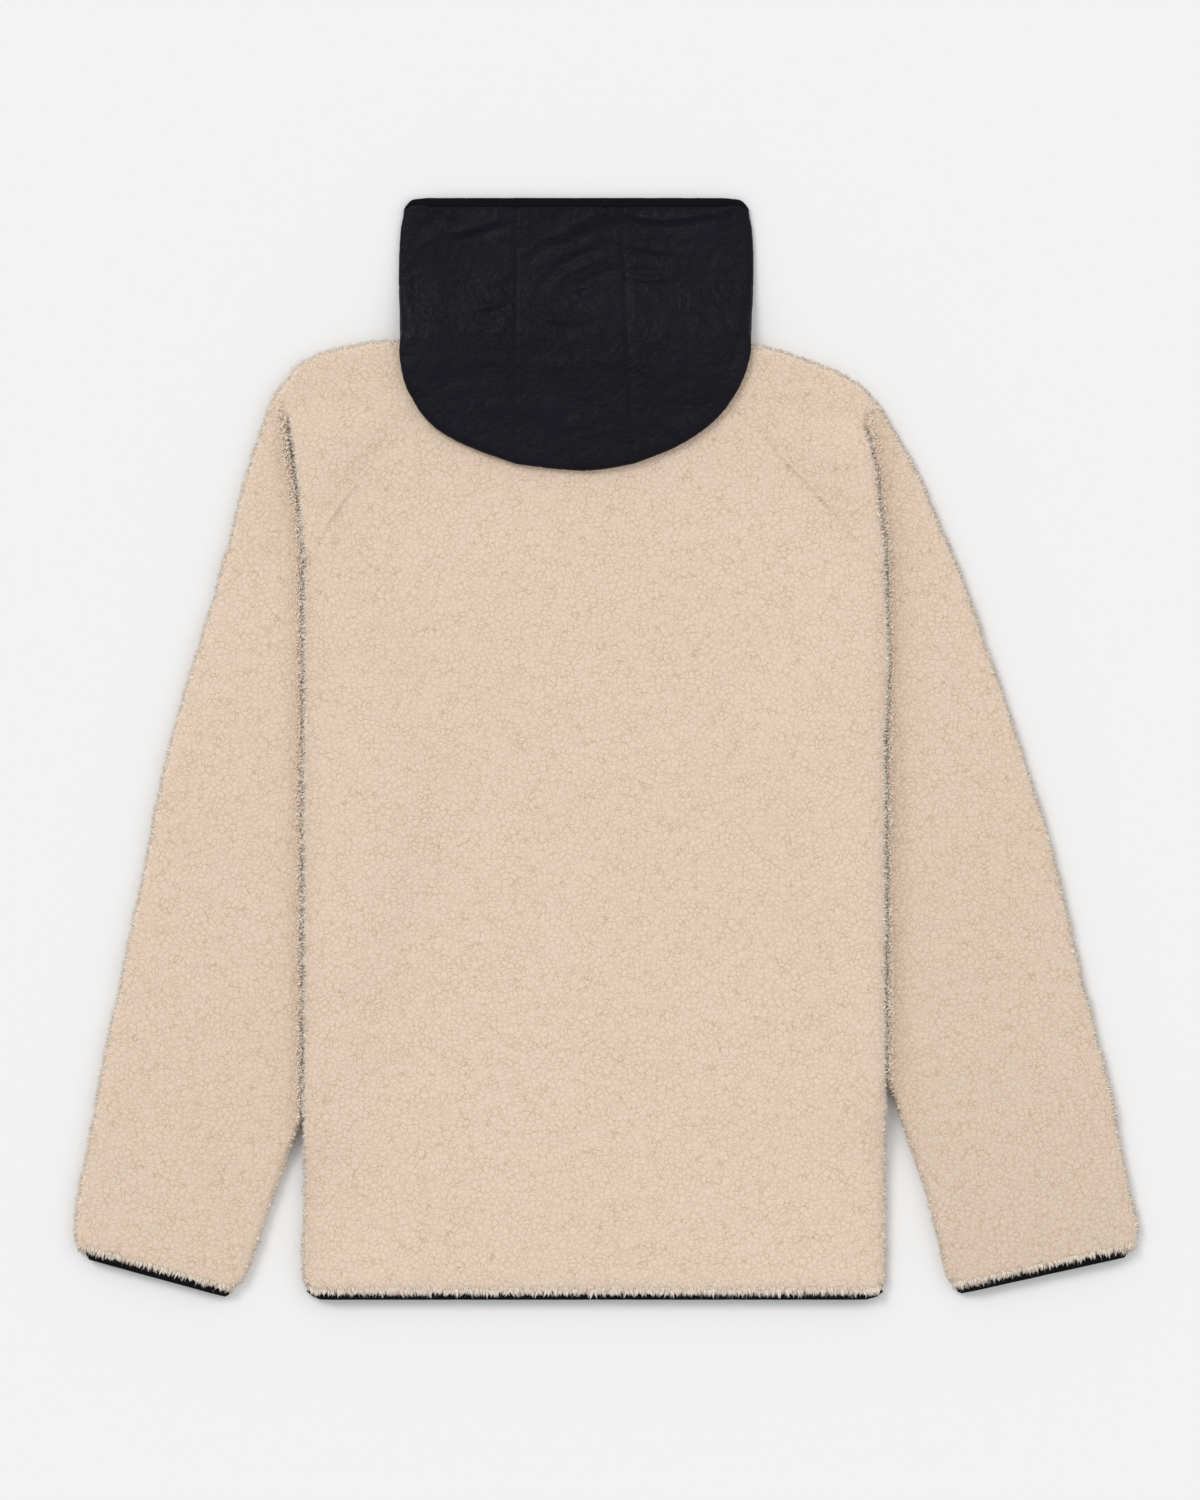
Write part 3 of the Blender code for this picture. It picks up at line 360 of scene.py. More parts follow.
def refine(points, faces, limits, tags):
    """Halve edges until none is longer than the finer limit of its two faces."""
    while True:
        edges, inverse = edges_of(faces, len(points))
        length = np.linalg.norm(points[edges[:, 0]] - points[edges[:, 1]], axis=1)
        limit = np.full(len(edges), np.inf)
        np.minimum.at(limit, inverse.ravel(), np.repeat(limits, 3))
        own = length[inverse]
        main = np.zeros(len(edges), bool)
        main[inverse[own >= 0.72 * own.max(axis=1)[:, None]]] = True
        split = (length > limit) & main
        if not split.any():
            return points, faces, limits, tags
        middle = np.full(len(edges), -1)
        middle[split] = len(points) + np.arange(split.sum())
        points = np.concatenate([points, points[edges[split]].mean(axis=1)])
        marks = middle[inverse]
        count = (marks >= 0).sum(axis=1)
        parts, sources = [faces[count == 0]], [np.flatnonzero(count == 0)]

        def take(rows, shift):
            turn = (np.arange(3)[None] + shift[:, None]) % 3
            index = np.arange(len(rows))[:, None]
            return faces[rows][index, turn], marks[rows][index, turn]

        rows = np.flatnonzero(count == 1)
        if len(rows):
            f, m = take(rows, (marks[rows] >= 0).argmax(axis=1))
            parts += [np.stack([f[:, 0], m[:, 0], f[:, 2]], 1), np.stack([m[:, 0], f[:, 1], f[:, 2]], 1)]
            sources += [rows, rows]
        rows = np.flatnonzero(count == 2)
        if len(rows):
            f, m = take(rows, ((marks[rows] < 0).argmax(axis=1) + 1) % 3)
            short = (np.linalg.norm(points[f[:, 0]] - points[m[:, 1]], axis=1)
                     < np.linalg.norm(points[m[:, 0]] - points[f[:, 2]], axis=1))
            parts.append(np.stack([m[:, 0], f[:, 1], m[:, 1]], 1))
            third = np.where(short, m[:, 1], f[:, 2])
            parts.append(np.stack([f[:, 0], m[:, 0], third], 1))
            first = np.where(short, f[:, 0], m[:, 0])
            parts.append(np.stack([first, m[:, 1], f[:, 2]], 1))
            sources += [rows, rows, rows]
        rows = np.flatnonzero(count == 3)
        if len(rows):
            f, m = faces[rows], marks[rows]
            parts += [np.stack([f[:, 0], m[:, 0], m[:, 2]], 1), np.stack([m[:, 0], f[:, 1], m[:, 1]], 1),
                      np.stack([m[:, 2], m[:, 1], f[:, 2]], 1), m.copy()]
            sources += [rows] * 4
        faces, source = np.concatenate(parts), np.concatenate(sources)
        limits, tags = limits[source], tags[source]


def evened(points, faces, outer):
    """Turn the outer side's thin triangles about, taking the edges in the order that they
    were made, so that each run gives the same mesh."""
    shape = bmesh.new()
    corners = [shape.verts.new(point) for point in points.tolist()]
    layer = shape.faces.layers.int.new("outer")
    for face, side in zip(faces.tolist(), outer.tolist()):
        shape.faces.new([corners[k] for k in face])[layer] = int(side)
    mine = [face for face in shape.faces if face[layer]]
    edges = [edge for edge in shape.edges
             if all(f[layer] for f in edge.link_faces) and edge.calc_face_angle(1.0) < 0.12]
    bmesh.ops.beautify_fill(shape, faces=mine, edges=edges, method="ANGLE")
    shape.verts.index_update()
    faces = np.array([[v.index for v in face.verts] for face in shape.faces])
    outer = np.array([bool(face[layer]) for face in shape.faces])
    shape.free()
    return faces, outer


def thinned(points, faces, kind, most):
    """Collapse the shortest edges of the flat parts until `most` triangles are left."""
    if len(faces) <= most:
        return points, faces, kind
    mesh = bpy.data.meshes.new("thinning")
    mesh.from_pydata(points.tolist(), [], faces.tolist())
    for k in range(4):
        mesh.materials.append(None)
    mesh.polygons.foreach_set("material_index", kind.astype(np.int32))
    thing = bpy.data.objects.new("thinning", mesh)
    bpy.context.scene.collection.objects.link(thing)
    modifier = thing.modifiers.new("thinning", "DECIMATE")
    modifier.ratio = most / len(faces)
    modifier.use_collapse_triangulate = True
    graph = bpy.context.evaluated_depsgraph_get()
    result = bpy.data.meshes.new_from_object(thing.evaluated_get(graph))
    thing.data = result
    points, faces = points_of(thing), faces_of(thing)
    kind = np.empty(len(result.polygons), np.int32)
    result.polygons.foreach_get("material_index", kind)
    bpy.data.objects.remove(thing)
    return points, faces, kind


def relax(points, faces, free, rounds):
    """Ease free points towards the mean of their neighbours."""
    edges, _ = edges_of(faces, len(points))
    ends = np.concatenate([edges, edges[:, ::-1]])
    count = np.maximum(np.bincount(ends[:, 0], minlength=len(points)), 1)
    points = points.copy()
    for _ in range(rounds):
        mean = np.stack([
            np.bincount(ends[:, 0], weights=points[ends[:, 1], k], minlength=len(points)) / count
            for k in range(3)], axis=1)
        points[free] += 0.5 * (mean - points)[free]
    return points


def make_tree(nodes):
    points, faces, base = [], [], 0
    for node in nodes:
        p, f = welded(node)
        points.append(p)
        faces.append(f + base)
        base += len(p)
    return BVHTree.FromPolygons(
        np.concatenate(points).tolist(), np.concatenate(faces).tolist())


def blocked(points, faces, which, tree, reach=0.025):
    """True for the faces in `which` that other cloth covers from every direction tried."""
    middle, normal = points[faces].mean(axis=1), normals_of(points, faces)
    result = np.zeros(len(faces), bool)
    for face in np.flatnonzero(which):
        n = Vector(normal[face])
        side = n.orthogonal().normalized()
        across = n.cross(side)
        start = Vector(middle[face]) + n * 1e-4
        tries = [n] + [n * 0.5 + (side * math.cos(a) + across * math.sin(a)) * 0.866
                       for a in (0.0, 1.57, 3.14, 4.71)]
        result[face] = all(tree.ray_cast(start, way, reach)[0] is not None for way in tries)
    for _ in range(2):
        result &= ~touched(points, faces[which & ~result])[faces].any(axis=1)
    return result


def new_object(name, points, faces, material, shares=None, side=None, painted_shading=None):
    mesh = bpy.data.meshes.new(name)
    mesh.from_pydata(points.tolist(), [], faces.tolist())
    mesh.shade_smooth()
    if side is not None:
        mark_rims(mesh, faces, side)
    mesh.materials.append(material)
    thing = bpy.data.objects.new(name, mesh)
    bpy.context.scene.collection.objects.link(thing)
    for label, rows in (("rest", points), ("painted_shading", painted_shading)):
        if rows is not None:
            attribute = mesh.attributes.new(label, "FLOAT_VECTOR", "POINT")
            attribute.data.foreach_set("vector", rows.astype(np.float32).ravel())
    if shares is not None:
        attribute = mesh.attributes.new("pile", "FLOAT", "POINT")
        attribute.data.foreach_set("value", shares.astype(np.float32))
    return thing


def mark_rims(mesh, faces, side):
    """Make the edges sharp where the outer side ends."""
    count = len(mesh.vertices)
    edges, inverse = edges_of(faces, count)
    most, least = np.zeros(len(edges), int), np.ones(len(edges), int)
    np.maximum.at(most, inverse.ravel(), np.repeat(side.astype(int), 3))
    np.minimum.at(least, inverse.ravel(), np.repeat(side.astype(int), 3))
    rims = edges[most != least]
    ends = np.empty(len(mesh.edges) * 2, np.int32)
    mesh.edges.foreach_get("vertices", ends)
    ends = np.sort(ends.reshape(-1, 2), axis=1).astype(np.int64)
    sharp = np.isin(ends[:, 0] * count + ends[:, 1], rims[:, 0] * count + rims[:, 1])
    mesh.attributes.new("sharp_edge", "BOOLEAN", "EDGE").data.foreach_set("value", sharp)


def points_of(thing):
    points = np.empty(len(thing.data.vertices) * 3, np.float32)
    thing.data.vertices.foreach_get("co", points)
    return points.reshape(-1, 3).astype(float)


def faces_of(thing):
    thing.data.calc_loop_triangles()
    faces = np.empty(len(thing.data.loop_triangles) * 3, np.int32)
    thing.data.loop_triangles.foreach_get("vertices", faces)
    return faces.reshape(-1, 3)


# ---------------------------------------------------------------- fleece

def pile_nodes():
    """Geometry nodes that raise each curl of the pile between its crevices."""
    group = bpy.data.node_groups.new("pile", "GeometryNodeTree")
    for way in ("INPUT", "OUTPUT"):
        group.interface.new_socket("Geometry", in_out=way, socket_type="NodeSocketGeometry")
    tree = Tree(group)
    start = tree.add("NodeGroupInput")
    rest = tree.add("GeometryNodeInputNamedAttribute", {"Name": "rest"}, data_type="FLOAT_VECTOR")
    pile = tree.add("GeometryNodeInputNamedAttribute", {"Name": "pile"}, data_type="FLOAT")
    place = rest.outputs["Attribute"]
    curl = tree.ease(tree.noise(place, 130.0), 0.3, 0.7, -0.30, 0.30)
    broad = tree.ease(tree.noise(place, 30.0), 0.25, 0.75, -0.45, 0.55)
    height = tree.math("MULTIPLY", tree.math("ADD", curl, broad), pile.outputs["Attribute"])
    push = tree.scaled(tree.add("GeometryNodeInputNormal").outputs[0], tree.math("MULTIPLY", height, MM))
    move = tree.add("GeometryNodeSetPosition", {"Geometry": start.outputs[0], "Offset": push})
    group.links.new(move.outputs[0], tree.add("NodeGroupOutput").inputs[0])
    return group


def apply_nodes(thing, group):
    modifier = thing.modifiers.new(group.name, "NODES")
    modifier.node_group = group
    graph = bpy.context.evaluated_depsgraph_get()
    mesh = bpy.data.meshes.new_from_object(thing.evaluated_get(graph))
    thing.modifiers.remove(modifier)
    thing.data = mesh


def smoothed_top(tree, low, high, step=0.004, blur=16):
    """A grid of the body's top height, blurred, with the change that the blur makes."""
    xs = np.arange(low[0], high[0] + step, step)
    ys = np.arange(low[1], high[1] + step, step)
    top = np.full((len(ys), len(xs)), np.nan)
    for j, y in enumerate(ys):
        for i, x in enumerate(xs):
            hit = tree.ray_cast(Vector((x, y, 0.1)), Vector((0, 0, -1)))
            if hit[0] is not None:
                top[j, i] = hit[0].z
    known = ~np.isnan(top)
    value, weight = np.where(known, top, 0.0), known.astype(float)
    for _ in range(blur):
        for axis in (0, 1):
            for grid in (value, weight):
                pad = np.pad(grid, [(2, 2) if k == axis else (0, 0) for k in (0, 1)], mode="edge")
                take = [pad.take(range(s, s + grid.shape[axis]), axis=axis) for s in range(5)]
                grid[:] = (take[0] + 4 * take[1] + 6 * take[2] + 4 * take[3] + take[4]) / 16
    inside = known.astype(float)
    for _ in range(6):
        inside[1:-1, 1:-1] = np.minimum.reduce([
            inside[1:-1, 1:-1], inside[:-2, 1:-1] + 0.17, inside[2:, 1:-1] + 0.17,
            inside[1:-1, :-2] + 0.17, inside[1:-1, 2:] + 0.17])
    change = np.where(known, value / np.maximum(weight, 1e-6) - np.where(known, top, 0), 0.0)
    return xs, ys, change * inside * inside * (3 - 2 * inside)


def sample(grid, points):
    """The grid's value at each point, straight between its four nearest."""
    xs, ys, value = grid
    u = np.clip((points[:, 0] - xs[0]) / (xs[1] - xs[0]), 0, len(xs) - 1.001)
    v = np.clip((points[:, 1] - ys[0]) / (ys[1] - ys[0]), 0, len(ys) - 1.001)
    i, j = u.astype(int), v.astype(int)
    s, t = u - i, v - j
    return ((value[j, i] * (1 - s) + value[j, i + 1] * s) * (1 - t)
            + (value[j + 1, i] * (1 - s) + value[j + 1, i + 1] * s) * t)


SEAM_DEPTH, SEAM_WIDTH = 0.0010, 0.0065        # of the soft channel where pieces are sewn
BODY_LEFT, BODY_RIGHT = -0.2345, 0.2150        # the body's straight edges, over the sleeves
HOOD_MIDDLE = -0.024

# each sleeve: the body's edge over it as (y, x), the way out, the crease's width and the depth
# # of its painted shade, and a painted shade factor by y, all in the plan
CREASES = {
    "sleeve_left": (((-0.45, BODY_LEFT), (0.16, BODY_LEFT), (0.262, -0.2500)), -1, 0.0100, 0.66,
                    ((-0.42, 0.955), (-0.10, 0.985), (0.10, 1.0), (0.30, 0.965))),
    "sleeve_right": (((-0.45, BODY_RIGHT), (0.145, BODY_RIGHT), (0.258, 0.2010)), 1, 0.0150, 0.50,
                     ((-0.42, 0.905), (-0.25, 0.945), (0.10, 0.985), (0.30, 0.975))),
}
# a cuff's or hem's soft corners: the ways that the two edges run from each, and its radius
CORNERS = {
    "back": [((0, 1), (1, 0), 0.009), ((0, 1), (-1, 0), 0.009)],
    "sleeve_left": [((0.384, 0.923), (-0.954, 0.301), 0.011)],
    "sleeve_right": [((-0.345, 0.939), (0.983, 0.184), 0.011)],
}


def round_corner(points, first, second, radius):
    """Draw the points of a square corner in to an arc, in the plan."""
    ways = np.array([first, second])
    corner = points[(points[:, :2] @ ways.sum(axis=0)).argmin(), :2]
    inward = radius - (points[:, :2] - corner) @ np.linalg.inv(ways)
    near = (inward > 0).all(axis=1)
    most, size = inward.max(axis=1), np.linalg.norm(inward, axis=1)
    drawn = inward * (most / np.maximum(size, 1e-9))[:, None]
    points[near, :2] = corner + (radius - drawn[near]) @ ways


def painted_shading_of(name, points, normal, free):
    """For each point: painted shade in a crease, painted light where the cloth turns over a fold,
    and a darkening factor by place, which paints shade on the sleeves and by the back's folded
    edges.  Beside the body's edge the sleeve's pile also stands up against it."""
    painted_shading = np.zeros((len(points), 3))
    # painted light: steep faces over a fold are paler, against the shade that falls on them
    steep = np.clip((0.86 - np.abs(normal[:, 2])) / 0.55, 0, 1) * (points[:, 2] > 0.001)
    painted_shading[:, 1] = 0.9 * steep * free
    painted_shading[:, 2] = 1.0
    if name in CREASES:
        edge, out, width, deep, tone = CREASES[name]
        edge, tone = np.array(edge), np.array(tone)
        away = (points[:, 0] - np.interp(points[:, 1], edge[:, 0], edge[:, 1])) * out
        top = np.clip((0.268 - points[:, 1]) / 0.03, 0, 1) * np.clip(away / 0.004 + 1, 0, 1)
        # painted shade in the crease beside the body's edge
        painted_shading[:, 0] = deep * np.exp(-(np.maximum(away, 0) / width) ** 2) * top
        painted_shading[:, 1] *= 1 - np.exp(-(away / width) ** 2) * top
        pressed = np.exp(-(np.maximum(away, 0) / 0.009) ** 2) * top * np.clip(away / 0.0025 + 0.9, 0, 1)
        points[:, 2] += 0.0052 * pressed * free * np.clip(normal[:, 2] * 2 - 0.8, 0, 1)
        # painted shade: a factor by y darkens each sleeve towards its cuff and its top
        painted_shading[:, 2] = np.interp(points[:, 1], tone[:, 0], tone[:, 1])
    elif name == "back":
        # darker towards the top
        painted_shading[:, 2] = np.interp(points[:, 1], (0.17, 0.23, 0.29), (1.0, 0.985, 0.965))
        away = np.minimum(points[:, 0] - BODY_LEFT, BODY_RIGHT - points[:, 0])
        # painted shade along the back's folded edges over the sleeves
        painted_shading[:, 2] -= 0.075 * np.exp(-(away / 0.011) ** 2)
    return painted_shading


def distance_to(targets, points, which, far):
    """Distance from each point in `which` to the nearest target, and `far` elsewhere."""
    tree = KDTree(len(targets))
    for k, target in enumerate(targets.tolist()):
        tree.insert(target, k)
    tree.balance()
    result = np.full(len(points), far)
    places = points.tolist()
    for k in np.flatnonzero(which):
        result[k] = tree.find(places[k])[2]
    return result


def vertex_normals(points, faces):
    cross = crosses(points, faces)
    total = np.stack([
        np.bincount(faces.ravel(), weights=np.repeat(cross[:, k], 3), minlength=len(points))
        for k in range(3)], axis=1)
    return total / np.maximum(np.linalg.norm(total, axis=1), 1e-15)[:, None]


def meet(name, points, edge, normal):
    """Move a piece's edge half way to the piece that it is sewn to."""
    near = make_tree([node for node in NODES if node != name and not node.startswith("zip")])
    moved = points.copy()
    for k in np.flatnonzero(edge):
        hit = near.find_nearest(Vector(points[k]), 0.0016)
        if hit[0] is not None:
            step = np.array(hit[0]) - points[k]
            if abs(step @ normal[k]) < 0.55 * np.linalg.norm(step):
                moved[k] += 0.49 * step
    return moved


def make_fleece(name, up, fine, most, material, others, group, top_change=None):
    points, faces = welded(name)
    outer = outer_faces(points, faces, up)
    points, faces, _, outer = refine(points, faces, np.where(outer, 0.012, 0.03), outer)
    faces, outer = evened(points, faces, outer)
    limits = np.where(outer, 0.012, 0.03)
    normal = normals_of(points, faces)
    middle = points[faces].mean(axis=1)
    hidden = blocked(points, faces, outer, others)
    hidden[areas_of(points, faces) < 1e-8] = False
    floor = outer & (normal[:, 2] < -0.9) & (middle[:, 2] < 0.001)
    limits = np.where(outer & ~hidden, fine, limits)
    limits = np.where(floor, 0.006, limits)
    kind = np.where(outer, 1, 0) + np.where(outer & ~hidden, 1, 0) + np.where(floor, 1, 0)
    points, faces, _, kind = refine(points, faces, limits, kind)
    points, faces, kind = thinned(points, faces, kind, most)
    on_outer, on_inner = touched(points, faces[kind > 0]), touched(points, faces[kind == 0])
    free = on_outer & ~on_inner
    points = relax(points, faces, free, 8)
    normal = vertex_normals(points, faces[kind > 0])
    painted_shading = painted_shading_of(name, points, normal, free)
    if name == "back":
        points[:, 2] += sample(top_change, points) * np.clip(normal[:, 2] * 2 - 0.8, 0, 1) * free
    edge = on_outer & on_inner
    points = meet(name, points, edge, normal)
    sunk = SEAM_DEPTH * np.exp(-(distance_to(points[edge], points, free, 0.02) / SEAM_WIDTH) ** 2)
    points -= normal * (sunk * free * (points[:, 2] > 0.0015))[:, None]
    share = free.astype(float)
    share[~touched(points, faces[kind == 2])] = 0
    share[touched(points, faces[kind == 3])] = 0
    share = share * np.clip((points[:, 2] - 0.0004) / 0.002, 0, 1)
    edges, _ = edges_of(faces, len(points))
    for _ in range(2):
        total = np.bincount(edges.ravel(), weights=share[edges[:, ::-1].ravel()], minlength=len(points))
        count = np.maximum(np.bincount(edges.ravel(), minlength=len(points)), 1)
        share = np.where(free, np.minimum(share, 0.5 * share + 0.5 * total / count), 0)
    for corner in CORNERS.get(name, ()):
        round_corner(points, *corner)
    thing = new_object(name + "_cloth", points, faces, material, share, kind > 0, painted_shading)
    apply_nodes(thing, group)
    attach(thing, "jacket")
    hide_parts(name)
    return thing


# ---------------------------------------------------------------- hood and bindings

# a crease in the hood: its points (x, y), its rise and its half width, in mm
HOOD_CREASES = [
    (((-119, 397), (-98, 402), (-79, 409)), 1.0, 3.5), (((-116, 391), (-96, 396), (-78, 402)), -0.8, 3.5),
    (((-148, 386), (-133, 394), (-119, 405)), 0.7, 3.5), (((-129, 415), (-120, 411), (-110, 405)), 0.7, 3.0),
    (((-146, 396), (-137, 404), (-131, 412)), -0.5, 3.0), (((-100, 338), (-85, 343), (-73, 352)), 1.0, 3.5),
    (((-109, 336), (-97, 335), (-84, 337)), -0.5, 3.0), (((-98, 331), (-84, 335), (-73, 343)), -0.6, 3.5),
    (((-93, 356), (-82, 361), (-73, 370)), 0.6, 4.0), (((-88, 318), (-79, 324), (-73, 334)), 0.5, 4.0),
    (((-60, 341), (-48, 331), (-34, 329), (-20, 331), (-6, 336), (7, 342)), 1.0, 4.0),
    (((-58, 332), (-46, 323), (-28, 321), (-8, 327)), -0.6, 4.0),
    (((-54, 351), (-37, 372), (-24, 378), (-2, 387)), -1.0, 3.5),
    (((-49, 347), (-34, 365), (-20, 371), (4, 380)), 0.9, 3.0),
    (((-47, 344), (-30, 352), (-12, 362), (11, 370)), -0.8, 3.5),
    (((-38, 342), (-20, 349), (0, 358), (13, 362)), 0.7, 3.0),
    (((-44, 392), (-24, 403), (-2, 414)), 0.9, 4.0), (((-38, 386), (-18, 396), (4, 404)), -0.7, 3.5),
    (((-62, 372), (-50, 385), (-37, 392)), -0.6, 4.0), (((-3, 397), (4, 401), (9, 405)), -0.8, 3.5),
    (((13, 414), (23, 409), (43, 407), (58, 409), (81, 412), (102, 416)), 1.2, 2.8),
    (((14, 408), (24, 403), (43, 401), (60, 403), (84, 407)), -0.9, 3.2),
    (((17, 388), (38, 384), (56, 382)), 0.8, 3.0), (((18, 382), (36, 378), (52, 377)), -0.6, 3.0),
    (((15, 363), (33, 361), (50, 363)), 1.1, 2.8), (((16, 368), (28, 367), (40, 367)), -0.8, 2.6),
    (((78, 398), (92, 390), (101, 378)), 0.5, 4.0), (((60, 345), (74, 340), (90, 342)), 0.4, 5.0),
    (((-137, 238), (-122, 231), (-108, 226)), 0.5, 5.0), (((64, 300), (70, 284), (72, 268)), 0.5, 6.0),
    (((-60, 300), (-40, 292), (-18, 296)), 0.4, 6.0), (((-140, 330), (-131, 312), (-128, 292)), 0.5, 6.0),
    (((34, 258), (50, 246), (70, 240)), 0.5, 5.0), (((-55, 262), (-36, 250), (-10, 247)), 0.4, 6.0),
    (((92, 330), (99, 312), (100, 290)), -0.5, 5.0), (((-110, 280), (-96, 268), (-78, 262)), 0.4, 5.0),
]
# puckers under the rim: x, how far each reaches down, its slant and its rise, in mm
PUCKERS = [
    (-150, 9, 2, 0.5), (-141, 14, 3, 0.6), (-133, 8, -1, 0.4), (-122, 11, 3, 0.6), (-113, 7, 1, 0.4),
    (-102, 13, 4, 0.5), (-94, 8, 2, 0.6), (-83, 10, -2, 0.5), (-75, 6, 1, 0.4), (-63, 8, 2, 0.6),
    (-52, 11, -1, 0.4), (-43, 7, 2, 0.6), (-31, 12, 3, 0.5), (-22, 6, -1, 0.6), (-12, 9, 2, 0.4),
    (-2, 8, 3, 0.6), (6, 6, 1, 0.4), (17, 8, -3, 0.6), (29, 6, -1, 0.5), (38, 9, 2, 0.6),
    (51, 7, -2, 0.4), (62, 10, 1, 0.6), (73, 7, 3, 0.5), (83, 11, 2, 0.6), (94, 8, -1, 0.5)]


def crease_hood(points, normal, free):
    """Raise and sink the hood's upper side along its creases and puckers."""
    lines = list(HOOD_CREASES)
    lines += [(((x, 416), (x + slant, 416 - reach)), rise, 1.9) for x, reach, slant, rise in PUCKERS]
    rise = np.zeros(len(points))
    for line, most, width in lines:
        line = np.array(line, float) * MM
        length = np.linalg.norm(np.diff(line, axis=0), axis=1)
        start, best, share = 0.0, np.full(len(points), 1.0), np.zeros(len(points))
        for a, b, size in zip(line[:-1], line[1:], length):
            t = np.clip((points[:, :2] - a) @ (b - a) / size ** 2, 0, 1)
            away = np.linalg.norm(points[:, :2] - a - t[:, None] * (b - a), axis=1)
            share = np.where(away < best, (start + t * size) / length.sum(), share)
            best, start = np.minimum(best, away), start + size
        rise += 1.35 * most * MM * np.exp(-(best / (width * MM)) ** 2) * np.sin(np.pi * (0.12 + 0.76 * share))
    points[:, 2] += rise * free * np.clip(normal[:, 2] * 2 - 0.8, 0, 1)


def hood_seam(side, y):
    return -0.0700 if side == "left" else np.interp(y, (0.215, 0.4165), (0.0205, 0.0105))


def shape_hood(name, points, normal, free):
    """Draw the panels' edges together at the seams, and square the rim's ends."""
    crease_hood(points, normal, free)
    for side in ("left", "right"):
        away = points[:, 0] - hood_seam(side, points[:, 1])
        top = np.clip(normal[:, 2] * 2 - 0.8, 0, 1) * (points[:, 2] > 0.0035)
        points[:, 2] -= 0.0006 * np.exp(-(away / 0.0018) ** 2) * top * (name in PANELS)
    reach = np.abs(points[:, 0] - HOOD_MIDDLE)
    lift = np.interp(reach, (0.1118, 0.1162, 0.1242, 0.1270, 0.1310, 0.1335),
                     (0, 0.0013, 0.0031, 0.0036, 0.0027, 0.0012))
    share = np.clip((points[:, 1] - 0.392) / 0.020, 0, 1)
    points[:, 1] += lift * share * share * (3 - 2 * share)
    if name == "hood_binding":
        away = (points[:, 1] - 0.4186) / 0.0055
        points[:, 2] += 0.0006 * np.clip(1 - away * away, 0, 1) * free * (normal[:, 2] > 0.3)


PANELS = ("hood_left", "hood_right", "hood_centre")


def make_plain(name, up, fine, material):
    points, faces = welded(name)
    outer = outer_faces(points, faces, up)
    points, faces, _, outer = refine(points, faces, np.where(outer, 3 * fine, 0.02), outer)
    faces, outer = evened(points, faces, outer)
    points, faces, _, outer = refine(points, faces, np.where(outer, fine, 0.02), outer)
    on_outer, on_inner = touched(points, faces[outer]), touched(points, faces[~outer])
    free = on_outer & ~on_inner
    points = relax(points, faces, free, 6)
    if name.startswith("hood"):
        normal = vertex_normals(points, faces[outer])
        points = meet(name, points, on_outer & on_inner, normal)
        shape_hood(name, points, normal, free)
    thing = new_object(name + "_cloth", points, faces, material, side=outer)
    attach(thing, "jacket")
    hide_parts(name)
    return thing


# ---------------------------------------------------------------- tufts of the pile

LUMP = (((-0.12, 1.0, 0.0), (0.45, 0.8, 0.5)), [
    (0, 1, 4), (0, 4, 3), (1, 2, 5), (1, 5, 4), (2, 0, 3), (2, 3, 5), (3, 4, 6), (4, 5, 6), (5, 3, 6)])
FUZZ = (((-0.12, 1.0, 0.0),), [(0, 1, 3), (1, 2, 3), (2, 0, 3)])


def make_tufts(name, body, material, picks):
    """Small three-sided curled tufts.  Each pick is (density of a place and normal, per
    square metre; which way they lean; how much; length; radius; shape)."""
    base_points, base_faces = points_of(body), faces_of(body)
    area = areas_of(base_points, base_faces)
    normal = normals_of(base_points, base_faces)
    middle = base_points[base_faces].mean(axis=1)
    pile = np.empty(len(base_points), np.float32)
    body.data.attributes["pile"].data.foreach_get("value", pile)
    area = area * (pile[base_faces].max(axis=1) > 0.1)
    points, faces, count = [], [], 0
    for density, lean, amount, length, radius, (rings, pattern) in picks:
        number = RNG.poisson(area * density(middle, normal))
        chosen = np.repeat(np.arange(len(base_faces)), number)
        n = len(chosen)
        if not n:
            continue
        u, v = RNG.random((2, n))
        flip = u + v > 1
        u[flip], v[flip] = 1 - u[flip], 1 - v[flip]
        a, b, c = (base_points[base_faces[chosen, k]] for k in range(3))
        place = a + (b - a) * u[:, None] + (c - a) * v[:, None]
        up = normal[chosen]
        side = unit(np.cross(up, unit(RNG.normal(size=(n, 3)))))
        axis = unit(up * (1 - amount) + np.asarray(lean) * amount * 1.6 + side * 0.45)
        across = unit(np.cross(axis, up + side * 0.3 + 1e-6))
        third = np.cross(axis, across)
        tall = RNG.uniform(*length, n)[:, None]
        wide = RNG.uniform(*radius, n)[:, None]
        curl = side * tall * RNG.uniform(-0.35, 0.35, n)[:, None]
        rows = []
        for height, swell, bow in rings:
            for angle in (0.0, 2.094, 4.189):
                rows.append(place + axis * tall * height + curl * bow
                            + (across * math.cos(angle) + third * math.sin(angle)) * wide * swell)
        rows.append(place + axis * tall + curl)
        block = np.stack(rows, axis=1).reshape(-1, 3)
        block[:, 2] = np.maximum(block[:, 2], 0.0002)
        points.append(block)
        step = len(rows)
        faces.append((np.array(pattern)[None] + (count + step * np.arange(n))[:, None, None]).reshape(-1, 3))
        count += step * n
    thing = new_object(name, np.concatenate(points), np.concatenate(faces), material)
    thing.parent = body
    return thing


def unit(rows):
    return rows / np.maximum(np.linalg.norm(rows, axis=1), 1e-12)[:, None]


def at_fold(most):
    """Tufts stand thickest where the cloth turns over a fold."""
    def density(middle, normal):
        steep = np.clip((0.80 - np.abs(normal[:, 2])) / 0.4, 0, 1)
        return most * steep * ((middle[:, 2] > 0.0012) & (normal[:, 2] > -0.3))
    return density


